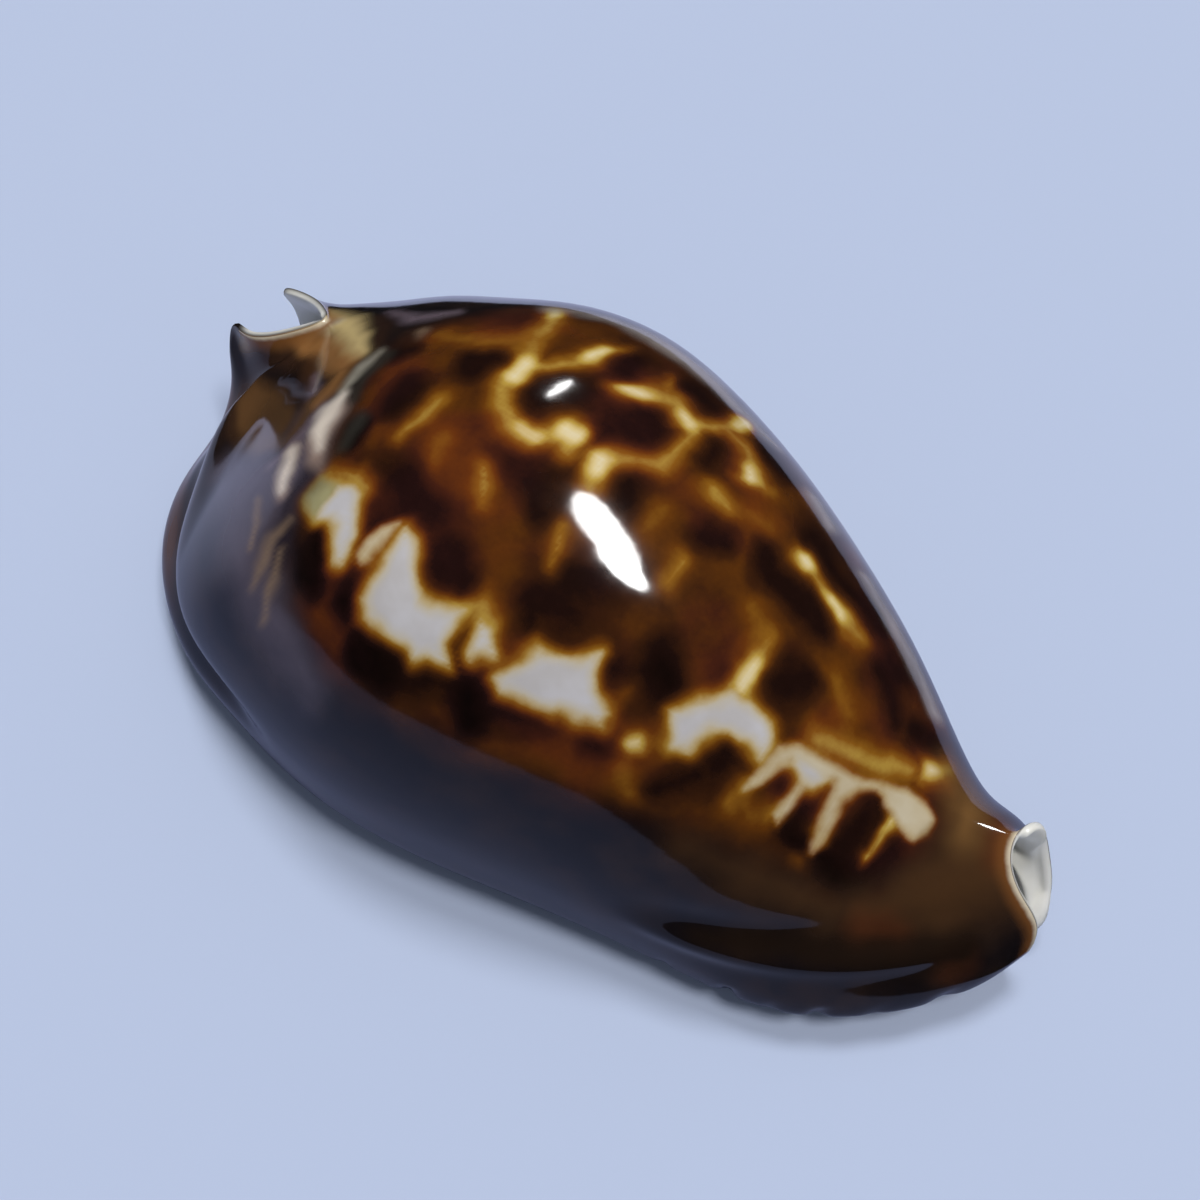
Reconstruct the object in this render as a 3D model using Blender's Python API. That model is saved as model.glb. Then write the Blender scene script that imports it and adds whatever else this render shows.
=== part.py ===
"""A cowrie shell, grown as one piece: a wall rolled round the body whorl, open along the
base in a toothed slit that runs out into a canal at each end.

Frame: +X to the beak (the front canal), -X to the two ears (the back canal), +Z up through
the dome, -Y to the outer lip. The shell lies on its base with its box centred on the origin.
The wall is lofted through cross sections. Each section runs from the edge of the outer lip,
under the outer lip, up its margin, over the dome and down to the edge of the inner lip.
"""

from collections import namedtuple
from math import ceil, cos, pi, sin

import bmesh
import bpy
from mathutils import Matrix, Vector

MM = 0.001

# Driving dimensions, in millimetres.
LIP_ROLL_OUTER = 4.2        # width of the roll from the outer lip's base into the slit
LIP_ROLL_INNER = 4.8        # the same on the inner lip
ROLL_SHARE_OUTER = 0.42     # the most a roll takes of its lip's width
ROLL_SHARE_INNER = 0.5
LIP_DEPTH = 4.2             # how far both lips turn up into the slit
FULL_DEPTH_RISE = 5.5       # the lips turn up less where the margin is less than this high
WALL_DOME = 2.2
WALL_MARGIN = 4.4
WALL_LIP = 1.4              # at the toothed edge of each lip
WALL_RIM = 0.8              # at the two canal rims
RIM_LIP_SHARE = 0.4         # share of that left where a rim meets the lips' edges
WALL_SHARE = 0.45           # the most the wall takes of a narrow lip at its margin
LIP_SHARE = 0.3             # and at its toothed edge
LIP_STEP = 0.2              # height of a lip's edge over the cavity's floor beside it
MARGIN_LIFT = 1.0           # height of the cavity's widest place over the shell's
OUTER_TEETH = 22
INNER_TEETH = 17
OUTER_TEETH_ENDS = (-27.0, 33.0)    # the first and last tooth along the lip
INNER_TEETH_ENDS = (-25.0, 31.5)
TOOTH_PLACE = 1.5           # a tooth's middle, in points from the lip's edge
TOOTH_HALF_WIDTH = 0.7
TOOTH_HALF_LENGTH = 1.9
TOOTH_HALF_HEIGHT = 0.95
TOOTH_SINK = 0.3            # depth of an outer tooth's middle under the lip
INNER_TOOTH_SINK = 0.5      # the inner lip's teeth are lower
TOOTH_FOOT = 0.1            # height of the lowest place of a tooth

# Roundness of the section's quarter arcs: 2 is an ellipse, more is squarer, less is straighter.
ROLL_FULLNESS = 2.4
OUTER_BASE_FULLNESS = 2.15
INNER_BASE_FULLNESS = 2.1

# Faces along each of the section's six arcs, and rings along the shell.
ARC_FACES = (4, 6, 11, 10, 6, 4)
RINGS = 42
ARC_STEPS = 60              # steps that an arc's length is measured by
RIM_STEPS = 24              # the same between two points of a rim

# One station of the shell from back to front. x_... are the section's places along the shell
# at the outer margin, the dome's crest, the inner margin and the base, because the sections
# lean. slit_y and slit_w are the middle and width of the slit, and full_... the fullness of
# the flanks between the margins and the crest.
Station = namedtuple("Station", (
    "x_outer x_crest x_inner x_base outer_y outer_z inner_y inner_z "
    "crest_y crest_z base_z slit_y slit_w full_outer full_inner"))

STATIONS = [Station(*row) for row in (
    (-34.8, -29.0, -33.8, -33.0, -5.2, 5.2, 7.4, 7.2, 3.6, 16.0, 0.8, 2.4, 2.8, 1.25, 1.5),
    (-34.6, -28.0, -31.2, -31.8, -9.2, 4.2, 9.2, 7.0, 2.8, 17.4, 0.2, 2.2, 3.0, 1.4, 1.5),
    (-33.1, -26.4, -27.8, -29.4, -13.4, 4.2, 11.3, 7.2, 1.0, 21.2, -0.2, 2.0, 3.2, 1.75, 1.65),
    (-29.8, -23.2, -24.0, -25.8, -17.2, 4.8, 13.4, 7.8, -0.8, 25.8, -0.4, 1.7, 3.4, 1.95, 1.8),
    (-24.5, -18.6, -19.4, -21.0, -20.4, 5.6, 15.0, 8.8, -1.8, 29.5, -0.5, 1.4, 3.6, 2.05, 1.95),
    (-17.5, -13.4, -14.0, -15.0, -22.3, 6.3, 16.9, 9.8, -2.3, 32.0, -0.6, 1.1, 3.7, 2.05, 2.05),
    (-9.8, -7.6, -8.0, -8.8, -23.1, 6.6, 17.9, 10.6, -2.3, 33.3, -0.6, 0.9, 3.8, 2.05, 2.1),
    (-1.8, -1.4, -1.5, -1.8, -22.1, 6.4, 17.2, 11.0, -2.0, 33.1, -0.6, 0.9, 4.0, 2.0, 2.1),
    (6.0, 5.4, 5.5, 5.0, -20.1, 6.0, 15.5, 10.8, -1.6, 31.0, -0.6, 1.0, 4.2, 1.95, 2.1),
    (13.2, 12.0, 12.5, 12.0, -18.3, 5.4, 13.1, 10.3, -1.1, 27.2, -0.5, 1.3, 4.4, 1.8, 2.1),
    (19.8, 18.2, 19.0, 18.6, -16.9, 5.0, 10.4, 9.6, -0.5, 22.7, -0.3, 1.7, 4.4, 1.6, 2.05),
    (25.4, 23.4, 24.6, 24.6, -15.3, 5.0, 7.9, 7.4, 0.4, 18.4, 0.0, 1.8, 3.8, 1.4, 1.75),
    (30.2, 27.2, 28.8, 29.4, -12.2, 5.0, 6.4, 5.8, 1.3, 15.7, 0.4, 1.7, 3.2, 1.35, 1.5),
    (33.9, 29.8, 32.0, 32.8, -8.3, 5.0, 6.1, 5.4, 2.1, 14.8, 1.0, 1.1, 2.2, 1.4, 1.55),
    (36.2, 31.2, 34.5, 34.8, -4.7, 5.4, 5.2, 5.4, 2.5, 14.7, 1.4, 0.4, 1.4, 1.6, 1.6),
)]

# The outer edges of the two canal rims, arc by arc from the outer lip's edge to the inner's.
BACK_RIM = (
    ((-34.0, 1.4, 4.0), (-34.4, 0.7, 2.5), (-34.7, -0.5, 2.6)),
    ((-34.7, -0.5, 2.6), (-35.1, -1.7, 4.6), (-35.4, -1.8, 8.0)),
    ((-35.4, -1.8, 8.0), (-35.9, -0.9, 11.4), (-36.2, 0.3, 13.0), (-34.2, 0.2, 14.0),
     (-31.6, 1.9, 15.0), (-30.1, 3.9, 15.6)),
    ((-30.1, 3.9, 15.6), (-30.6, 5.4, 15.5), (-32.7, 5.7, 14.7), (-34.9, 5.2, 13.3),
     (-35.4, 5.6, 9.6)),
    ((-35.4, 5.6, 9.6), (-35.2, 5.6, 5.4), (-34.9, 5.2, 2.9)),
    ((-34.9, 5.2, 2.9), (-34.4, 4.5, 2.5), (-33.9, 3.7, 4.0)),
)
FRONT_RIM = (
    ((35.6, -0.6, 4.6), (36.2, -0.9, 3.2), (36.8, -1.3, 3.2)),
    ((36.8, -1.3, 3.2), (37.2, -1.5, 4.6), (37.4, -1.2, 6.4)),
    ((37.4, -1.2, 6.4), (36.7, -0.2, 9.0), (34.7, 0.2, 11.6), (32.7, 1.0, 13.8),
     (31.8, 2.7, 14.8)),
    ((31.8, 2.7, 14.8), (32.3, 4.4, 14.1), (33.4, 4.9, 12.0), (34.7, 4.5, 9.2)),
    ((34.7, 4.5, 9.2), (36.0, 3.7, 6.6), (36.9, 2.4, 4.2)),
    ((36.9, 2.4, 4.2), (36.9, 1.2, 2.9), (35.9, 0.3, 3.8)),
)


def clear_scene():
    for thing in list(bpy.data.objects):
        bpy.data.objects.remove(thing, do_unlink=True)


def spline(points, place):
    """A smooth curve through the points, at a place counted in points."""
    last = len(points) - 1
    i = min(int(place), last - 1)
    t = place - i
    b, c = points[i], points[i + 1]
    a = points[i - 1] if i > 0 else b * 2 - c
    d = points[i + 2] if i + 2 <= last else c * 2 - b
    return (b * 2 + (c - a) * t + (a * 2 - b * 5 + c * 4 - d) * t ** 2
            + (b * 3 - a - c * 3 + d) * t ** 3) * 0.5


def even_steps(line, faces):
    """Points along a polyline at equal distances, faces + 1 of them."""
    reach = [0.0]
    for p, q in zip(line, line[1:]):
        reach.append(reach[-1] + (q - p).length)
    points = [line[0]]
    k = 1
    for n in range(1, faces):
        target = reach[-1] * n / faces
        while reach[k] < target:
            k += 1
        share = (target - reach[k - 1]) / (reach[k] - reach[k - 1])
        points.append(line[k - 1].lerp(line[k], share))
    return points + [line[-1]]


def join_arcs(arcs):
    ring = []
    for arc, faces in zip(arcs, ARC_FACES):
        ring += even_steps(arc, faces)[:-1]
    return ring + [arcs[-1][-1]]


def rim_ring(rim):
    """The ring of a canal rim, smooth through all its points."""
    points = [Vector(rim[0][0])]
    ends = [0]
    for arc in rim:
        points += [Vector(p) for p in arc[1:]]
        ends.append(len(points) - 1)
    arcs = []
    for start, stop in zip(ends, ends[1:]):
        count = RIM_STEPS * (stop - start)
        arcs.append([spline(points, start + (stop - start) * n / count) for n in range(count + 1)])
    return join_arcs(arcs)


def quarter(start, stop, fullness, flat_first):
    """A quarter arc from start to stop, leaving along Y if flat_first and else along Z."""
    power = 2 / fullness
    line = []
    for n in range(ARC_STEPS + 1):
        turn = pi / 2 * n / ARC_STEPS
        rise, run = 1 - cos(turn) ** power, sin(turn) ** power
        if not flat_first:
            rise, run = run, rise
        lean = (1 - cos(pi * n / ARC_STEPS)) / 2
        line.append(Vector((start.x + (stop.x - start.x) * lean,
                            start.y + (stop.y - start.y) * run,
                            start.z + (stop.z - start.z) * rise)))
    return line


def square_to(x, y):
    """The unit direction to the left of a direction in the plane."""
    return Vector((-y, x, 0)).normalized()


def section_ring(st, inside):
    """The cross section at a station, of the outer skin or of the cavity inside it."""
    edge_outer = st.slit_y - st.slit_w / 2
    edge_inner = st.slit_y + st.slit_w / 2
    lip_outer = edge_outer - st.outer_y
    lip_inner = st.inner_y - edge_inner
    roll_outer = min(LIP_ROLL_OUTER, ROLL_SHARE_OUTER * lip_outer)
    roll_inner = min(LIP_ROLL_INNER, ROLL_SHARE_INNER * lip_inner)
    depth = LIP_DEPTH * min(1, (st.outer_z - st.base_z) / FULL_DEPTH_RISE)
    outer_edge = Vector((st.x_base, edge_outer, st.base_z + depth))
    outer_base = Vector((st.x_base, edge_outer - roll_outer, st.base_z))
    outer_margin = Vector((st.x_outer, st.outer_y, st.outer_z))
    crest = Vector((st.x_crest, st.crest_y, st.crest_z))
    inner_margin = Vector((st.x_inner, st.inner_y, st.inner_z))
    inner_base = Vector((st.x_base, edge_inner + roll_inner, st.base_z))
    inner_edge = Vector((st.x_base, edge_inner, st.base_z + depth))
    if inside:
        floor_z = outer_edge.z - LIP_STEP
        outer_edge.y -= min(WALL_LIP, LIP_SHARE * lip_outer)
        inner_edge.y += min(WALL_LIP, LIP_SHARE * lip_inner)
        outer_base.z = inner_base.z = floor_z
        n = STATIONS.index(st)
        last, following = STATIONS[max(n - 1, 0)], STATIONS[min(n + 1, len(STATIONS) - 1)]
        outer_margin += min(WALL_MARGIN, WALL_SHARE * lip_outer) * square_to(
            following.x_outer - last.x_outer, following.outer_y - last.outer_y)
        inner_margin += min(WALL_MARGIN, WALL_SHARE * lip_inner) * square_to(
            last.x_inner - following.x_inner, last.inner_y - following.inner_y)
        outer_margin.z = max(outer_margin.z, floor_z) + MARGIN_LIFT
        inner_margin.z = max(inner_margin.z, floor_z) + MARGIN_LIFT
        fall = square_to(last.x_crest - following.x_crest, last.crest_z - following.crest_z)
        crest += WALL_DOME * Vector((fall.x, 0, fall.y))
    return join_arcs((
        quarter(outer_edge, outer_base, ROLL_FULLNESS, False),
        quarter(outer_base, outer_margin, OUTER_BASE_FULLNESS, True),
        quarter(outer_margin, crest, st.full_outer, False),
        quarter(crest, inner_margin, st.full_inner, True),
        quarter(inner_margin, inner_base, INNER_BASE_FULLNESS, False),
        quarter(inner_base, inner_edge, ROLL_FULLNESS, True)))


def inside_rim(rim, beside, side):
    """A canal rim's ring moved in by the wall there, straight across inside the lips' rolls.

    beside is a ring of the same skin near by, and side is 1 if it lies to the front, else -1.
    """
    ring = []
    for k, p in enumerate(rim):
        across = rim[min(k + 1, len(rim) - 1)] - rim[max(k - 1, 0)]
        inward = across.cross(beside[k] - p).normalized() * side
        ring.append(p + inward * WALL_RIM)
    last = len(ring) - 1
    outer_edge = rim[0].lerp(ring[0], RIM_LIP_SHARE)
    inner_edge = rim[last].lerp(ring[last], RIM_LIP_SHARE)
    chord = ARC_FACES[0] + 2
    for k in range(chord):
        ring[k] = outer_edge.lerp(ring[chord], k / chord)
        ring[last - k] = inner_edge.lerp(ring[last - chord], k / chord)
    return ring


def loft(control):
    """Rings along the shell, smooth through the control rings."""
    columns = list(zip(*control))
    rings = []
    for n in range(RINGS):
        place = n * (len(control) - 1) / (RINGS - 1)
        rings.append([spline(column, place) for column in columns])
    return rings


def skins():
    """The outer skin's rings and the cavity's, standing on z = 0 and centred."""
    control = [rim_ring(BACK_RIM)] + [section_ring(st, False) for st in STATIONS]
    control.append(rim_ring(FRONT_RIM))
    outer = loft(control)
    back = inside_rim(outer[0], outer[3], 1)
    front = inside_rim(outer[-1], outer[-4], -1)
    cavity = loft([back] + [section_ring(st, True) for st in STATIONS] + [front])
    every = [p for ring in outer for p in ring]
    middle_x = (min(p.x for p in every) + max(p.x for p in every)) / 2
    middle_y = (min(p.y for p in every) + max(p.y for p in every)) / 2
    for skin in (outer, cavity):
        for p in (p for ring in skin for p in ring):
            p.x -= middle_x
            p.y -= middle_y
            p.z = max(p.z, 0.0)
    return outer, cavity


def material(name, color, roughness):
    finish = bpy.data.materials.new(name)
    finish.use_nodes = True
    shader = finish.node_tree.nodes["Principled BSDF"]
    shader.inputs["Base Color"].default_value = (*color, 1)
    shader.inputs["Roughness"].default_value = roughness
    shader.inputs["Metallic"].default_value = 0.0
    return finish


def add_object(name, mesh):
    thing = bpy.data.objects.new(name, mesh)
    bpy.context.scene.collection.objects.link(thing)
    return thing


def skin_point(rings, station, place):
    """A point of the outer skin, at a place counted in points along the section."""
    ring_place = station * (RINGS - 1) / (len(STATIONS) + 1)
    low = max(0, min(int(place) - 1, sum(ARC_FACES) - 3))
    near = [spline([ring[k] for ring in rings], ring_place) for k in range(low, low + 4)]
    return spline(near, place - low)


def station_at(x):
    """The place along the shell, counted in stations from the back rim, of an x on the base."""
    n = 0
    while STATIONS[n + 1].x_base < x:
        n += 1
    here, following = STATIONS[n].x_base, STATIONS[n + 1].x_base
    return n + 1 + (x - here) / (following - here)


def make_teeth(rings):
    """Short ridges across both lips, as one guide mesh that the shell is joined with."""
    last_point = sum(ARC_FACES)
    size = Matrix.Diagonal((TOOTH_HALF_WIDTH, TOOTH_HALF_LENGTH, TOOTH_HALF_HEIGHT, 1))
    bm = bmesh.new()
    for count, place, sink, first, last in (
            (OUTER_TEETH, TOOTH_PLACE, TOOTH_SINK, *OUTER_TEETH_ENDS),
            (INNER_TEETH, last_point - TOOTH_PLACE, INNER_TOOTH_SINK, *INNER_TEETH_ENDS)):
        for n in range(count):
            station = station_at(first + (last - first) * n / (count - 1))
            spot = skin_point(rings, station, place)
            along = (skin_point(rings, station + 0.1, place) - spot).normalized()
            across = (skin_point(rings, station, place + 0.3) - spot).normalized()
            outward = across.cross(along).normalized()
            turn = Matrix((along, across, outward)).transposed().to_4x4()
            put = Matrix.Translation((spot - outward * sink) * MM)
            bmesh.ops.create_icosphere(bm, subdivisions=1, radius=1.0,
                                       matrix=put @ turn @ Matrix.Scale(MM, 4) @ size)
    for v in bm.verts:
        v.co.z = max(v.co.z, TOOTH_FOOT * MM)
    bmesh.ops.recalc_face_normals(bm, faces=bm.faces)
    mesh = bpy.data.meshes.new("teeth_guide")
    bm.to_mesh(mesh)
    bm.free()
    guide = add_object("teeth_guide", mesh)
    guide.hide_render = True
    guide.display_type = "WIRE"
    return guide


def border(grid):
    """The points round a grid's four sides: both canal rims and both lips' edges."""
    inner_side = [ring[-1] for ring in grid[1:]]
    outer_side = [ring[0] for ring in grid[1:-1]]
    return grid[0] + inner_side + grid[-1][-2::-1] + outer_side[::-1]


def make_shell():
    outer, cavity = skins()
    bm = bmesh.new()
    outer_grid = [[bm.verts.new(p * MM) for p in ring] for ring in outer]
    cavity_grid = [[bm.verts.new(p * MM) for p in ring] for ring in cavity]
    for grid in (outer_grid, cavity_grid):
        for ring, following in zip(grid, grid[1:]):
            for k in range(len(ring) - 1):
                bm.faces.new((ring[k], following[k], following[k + 1], ring[k + 1]))
    outer_edge, cavity_edge = border(outer_grid), border(cavity_grid)
    for k in range(len(outer_edge)):
        bm.faces.new((outer_edge[k - 1], outer_edge[k], cavity_edge[k], cavity_edge[k - 1]))
    bmesh.ops.recalc_face_normals(bm, faces=bm.faces)
    mesh = bpy.data.meshes.new("shell")
    bm.to_mesh(mesh)
    bm.free()
    shell = add_object("shell", mesh)
    mesh.materials.append(material("shell_glaze", (0.16, 0.07, 0.025), 0.12))
    mesh.shade_smooth()

    teeth = shell.modifiers.new("teeth", "BOOLEAN")
    teeth.operation = "UNION"
    teeth.solver = "EXACT"
    teeth.object = make_teeth(outer)


clear_scene()
make_shell()
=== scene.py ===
# The looks of a cowrie shell: one glazed shell with its markings, on a pale floor in soft light.
# +X runs to the beak, -X to the two ears, +Z up through the dome, -Y to the outer lip.
from math import cos, pi, radians, sin

import bmesh
import bpy
import numpy as np
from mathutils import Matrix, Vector, bvhtree, kdtree, noise


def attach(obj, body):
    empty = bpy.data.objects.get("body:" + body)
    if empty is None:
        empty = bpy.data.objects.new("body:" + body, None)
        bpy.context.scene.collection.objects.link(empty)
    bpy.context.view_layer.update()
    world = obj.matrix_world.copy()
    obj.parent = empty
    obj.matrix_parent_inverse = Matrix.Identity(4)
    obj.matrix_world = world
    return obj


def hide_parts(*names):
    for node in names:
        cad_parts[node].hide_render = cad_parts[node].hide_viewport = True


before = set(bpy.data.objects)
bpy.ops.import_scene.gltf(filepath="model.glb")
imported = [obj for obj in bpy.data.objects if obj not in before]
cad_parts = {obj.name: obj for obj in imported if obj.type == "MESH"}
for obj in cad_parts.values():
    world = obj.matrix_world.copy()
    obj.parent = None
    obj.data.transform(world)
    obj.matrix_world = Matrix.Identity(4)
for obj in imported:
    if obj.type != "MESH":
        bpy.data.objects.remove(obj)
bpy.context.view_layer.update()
mm = 0.001

view = {
    "place": (27.6, -37.0, 162.9),     # mm
    "aim": (-4.6, 5.8, 0.0),
    "lens": 66.12,
    "sensor": 36.0,
    "nearest": 10.0,
}
room = {
    "floorSize": 24.0,                 # m
    "floorColor": (0.50, 0.575, 0.76),
    "floorRoughness": 0.75,
    "floorShine": 0.1,
    # the outline of the floor that the glaze mirrors: degrees from +X and distance in mm
    "mirroredReach": ((0, 40), (30, 45), (60, 53), (90, 54), (120, 50), (150, 44), (177, 45), (182, 105),
                      (210, 130), (240, 220), (270, 150), (300, 125), (330, 62)),
    "mirroredLift": 0.02,
    "mirroredNear": (0.195, 0.23, 0.40),      # in front it lies in the shell's own shade
    "mirroredFar": (0.42, 0.46, 0.68),
    "mirroredTurn": (-8, 24),          # mm between which it goes from one to the other
    "mirroredSlant": 0.6,              # and how far that line leans off the Y axis towards -X
    "skyColor": (0.80, 0.86, 1.0),
    "skyStrength": 0.21,
    "skyInGloss": 0.008,               # the room seems dark in the glaze
}
# Soft suns that light the body and the floor: direction, strength, spread in degrees, colour
suns = {
    "highSun": ((0.20, 0.08, 0.97), 1.44, 12, (1.0, 0.985, 0.96)),
    "backSun": ((-0.16, 0.26, 0.95), 1.20, 13, (0.98, 0.99, 1.0)),
}
# Lamps that only the glaze mirrors: place and target in mm, length and width in mm, turn in
# degrees, power in W
lamps = {
    "windowGlint": ((112, 137, 500), (0, 0, 32), (300, 122), 17, 3.4),
    "windowEdge": ((212, 62, 500), (0, 0, 32), (175, 100), 62, 2.2),
    "farGlint": ((-392, 705, 400), (0, 0, 32), (206, 34), 65, 0.7),
}


def deselectAll():
    if bpy.context.object and bpy.context.object.mode != "OBJECT":
        bpy.ops.object.mode_set(mode="OBJECT")
    bpy.ops.object.select_all(action="DESELECT")


def pickOnly(thing):
    deselectAll()
    thing.select_set(True)
    bpy.context.view_layer.objects.active = thing


def aimAt(thing, target):
    thing.rotation_euler = (Vector(target) * mm - thing.location).to_track_quat("-Z", "Y").to_euler()


def addCamera():
    bpy.ops.object.camera_add(location=Vector(view["place"]) * mm)
    camera = bpy.context.object
    camera.name = "camera"
    camera.data.lens = view["lens"]
    camera.data.sensor_width = view["sensor"]
    camera.data.clip_start = view["nearest"] * mm
    aimAt(camera, view["aim"])
    bpy.context.scene.camera = camera


def addSun(name, direction, strength, spread, color):
    bpy.ops.object.light_add(type="SUN", location=direction)
    lamp = bpy.context.object
    lamp.name = name
    lamp.data.energy = strength
    lamp.data.angle = radians(spread)
    lamp.data.color = color
    lamp.visible_glossy = False
    aimAt(lamp, (0, 0, 0))


def addLamp(name, place, target, size, turn, power):
    bpy.ops.object.light_add(type="AREA", location=Vector(place) * mm)
    lamp = bpy.context.object
    lamp.name = name
    lamp.data.shape = "ELLIPSE"
    lamp.data.size, lamp.data.size_y = size[0] * mm, size[1] * mm
    lamp.data.energy = power
    lamp.visible_diffuse = False
    aimAt(lamp, target)
    lamp.rotation_euler.rotate_axis("Z", radians(turn))


# A material's sockets, in sums that add their own Math nodes
class Wire:
    def __init__(self, sheet, socket):
        self.sheet = sheet
        self.socket = socket

    def sum(self, kind, first, second):
        return self.sheet.make("ShaderNodeMath", {"operation": kind}, {0: first, 1: second})

    def __add__(self, other):
        return self.sum("ADD", self, other)

    __radd__ = __add__

    def __sub__(self, other):
        return self.sum("SUBTRACT", self, other)

    def __rsub__(self, other):
        return self.sum("SUBTRACT", other, self)

    def __mul__(self, other):
        return self.sum("MULTIPLY", self, other)

    __rmul__ = __mul__


class Sheet:
    def __init__(self, tree):
        self.tree = tree
        tree.nodes.clear()

    def node(self, kind, settings, sockets):
        made = self.tree.nodes.new(kind)
        for name, value in settings.items():
            if name == "stops":
                self.setStops(made.color_ramp, value)
            else:
                setattr(made, name, value)
        for name, value in sockets.items():
            if isinstance(value, Wire):
                self.tree.links.new(value.socket, made.inputs[name])
            else:
                made.inputs[name].default_value = value
        return made

    def make(self, kind, settings, sockets, out=0):
        return Wire(self, self.node(kind, settings, sockets).outputs[out])

    def setStops(self, ramp, stops):
        while len(ramp.elements) < len(stops):
            ramp.elements.new(1.0)
        for element, (place, color) in zip(ramp.elements, stops):
            element.position = place
            element.color = (*color, 1.0)

    def attribute(self, name):
        return self.make("ShaderNodeAttribute", {"attribute_name": name}, {}, "Fac")

    def noise(self, where, scale, detail):
        return self.make("ShaderNodeTexNoise", {},
                         {"Vector": where, "Scale": scale, "Detail": detail}, "Fac")

    def between(self, value, low, high):
        return self.make("ShaderNodeMapRange", {"interpolation_type": "SMOOTHSTEP"},
                         {"Value": value, "From Min": low, "From Max": high})

    def blend(self, amount, first, second):
        first, second = (c if isinstance(c, Wire) else (*c, 1.0) for c in (first, second))
        return self.make("ShaderNodeMix", {"data_type": "RGBA"}, {0: amount, 6: first, 7: second}, 2)


def newMaterial(name):
    made = bpy.data.materials.new(name)
    made.use_nodes = True
    return made, Sheet(made.node_tree)


# The shell's form, in mm. Widths and depths are as in its solid, with more rings and finer arcs.
shellForm = {
    "rings": 281,
    "arcFaces": (14, 18, 100, 90, 16, 14),  # along a section, from the outer lip's edge to the inner's
    "rollOuter": (4.2, 0.42),          # width of the lips' rolls, and the most they take of a lip
    "rollInner": (4.8, 0.5),
    "lipDepth": 4.2,                   # how far the lips turn up into the slit
    "fullDepthRise": 5.5,              # they turn up less where the margin is lower than this
    "wallDome": 2.2,
    "wallMargin": (4.4, 0.45),         # and the most it takes of a narrow lip
    "wallLip": (1.4, 0.3),
    "wallRim": (0.5, 0.7),             # at the back and the front
    "leastWall": 0.4,
    "besideRim": 0.45,                 # where the wall's direction at a rim is read, in stations
    "rimLipShare": 0.4,                # share of the wall left where a rim meets the lips' edges
    "rimStraight": 6,                  # faces past a roll that the rim's inner edge runs straight
    "lipStep": 0.2,                    # height of a lip's edge over the hollow's floor beside it
    "marginLift": 1.0,                 # height of the hollow's widest place over the shell's
    "fullness": (2.4, 2.15, 2.1),      # of the rolls and of the two halves of the base
    "roundRows": 4,                    # rows that round the rims and the lips' edges
    "roundReach": 0.32,                # how far they stand out, as a share of the wall there
    "arcSteps": 120,                   # that an arc, a rim's point to point, and the shell's
    "rimSteps": 24,                    # whole length are measured by
    "lengthSteps": 1200,
    "center": (0.593, -2.779),         # middle of the box that the stations fill
}
# Stations from back to front: x at the outer margin, the crest, the inner margin and the base;
# y, z of the outer margin, the inner margin and the crest; base z; slit middle and width;
# fullness of the two flanks.
stations = (
    (-34.8, -29.2, -33.8, -33, -5.2, 5.2, 7.4, 7.2, 3.5, 16.6, 0.8, 2.4, 2.8, 1.2, 1.5),
    (-34.6, -27.9, -31.2, -31.8, -9.2, 4.2, 9.2, 7, 2.8, 18, 0.2, 2.2, 3, 1.25, 1.5),
    (-33.1, -26, -27.8, -29.4, -13.4, 4.2, 11.3, 7.2, 1.6, 20.4, -0.2, 2, 3.2, 1.3, 1.65),
    (-29.8, -22.6, -24, -25.8, -17.2, 4.8, 13.4, 7.8, -0.4, 24.6, -0.4, 1.7, 3.4, 1.65, 1.8),
    (-24.5, -18.2, -19.4, -21, -20.4, 5.6, 15, 8.8, -1.8, 28.8, -0.5, 1.4, 3.6, 2.05, 1.95),
    (-17.5, -13.4, -14, -15, -22.3, 6.3, 16.9, 9.8, -2.3, 32, -0.6, 1.1, 3.7, 2.05, 2.05),
    (-9.8, -7.6, -8, -8.8, -23.1, 6.6, 17.9, 10.6, -2.3, 33.3, -0.6, 0.9, 3.8, 2.05, 2.1),
    (-1.8, -1.4, -1.5, -1.8, -22.1, 6.4, 17.2, 11, -2, 33.1, -0.6, 0.9, 4, 2, 2.1),
    (6, 5.4, 5.5, 5, -20.1, 6, 15.5, 10.8, -1.6, 31, -0.6, 1, 4.2, 1.95, 2.1),
    (13.2, 12, 12.5, 12, -18.3, 5.4, 13.1, 10.3, -1.1, 27.2, -0.5, 1.3, 4.4, 1.8, 2.1),
    (19.8, 18.2, 19, 18.6, -16.9, 5, 10.4, 9.6, -0.5, 22.7, -0.3, 1.7, 4.4, 1.6, 2.05),
    (25.4, 23.4, 24.6, 24.6, -15.3, 5, 7.9, 7.4, 0.4, 18.4, 0, 1.8, 3.8, 1.4, 1.75),
    (30.2, 27.2, 28.8, 29.4, -12.2, 5, 6.4, 5.8, 1.3, 15.7, 0.4, 1.7, 3.2, 1.35, 1.5),
    (33.9, 29.8, 32, 32.8, -8.3, 5, 6.1, 5.4, 2.1, 14.8, 1, 1.1, 2.2, 1.4, 1.55),
    (36.2, 31.2, 34.5, 34.8, -4.7, 5.4, 5.2, 5.4, 2.5, 14.7, 1.4, 0.4, 1.4, 1.6, 1.6),
)
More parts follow.
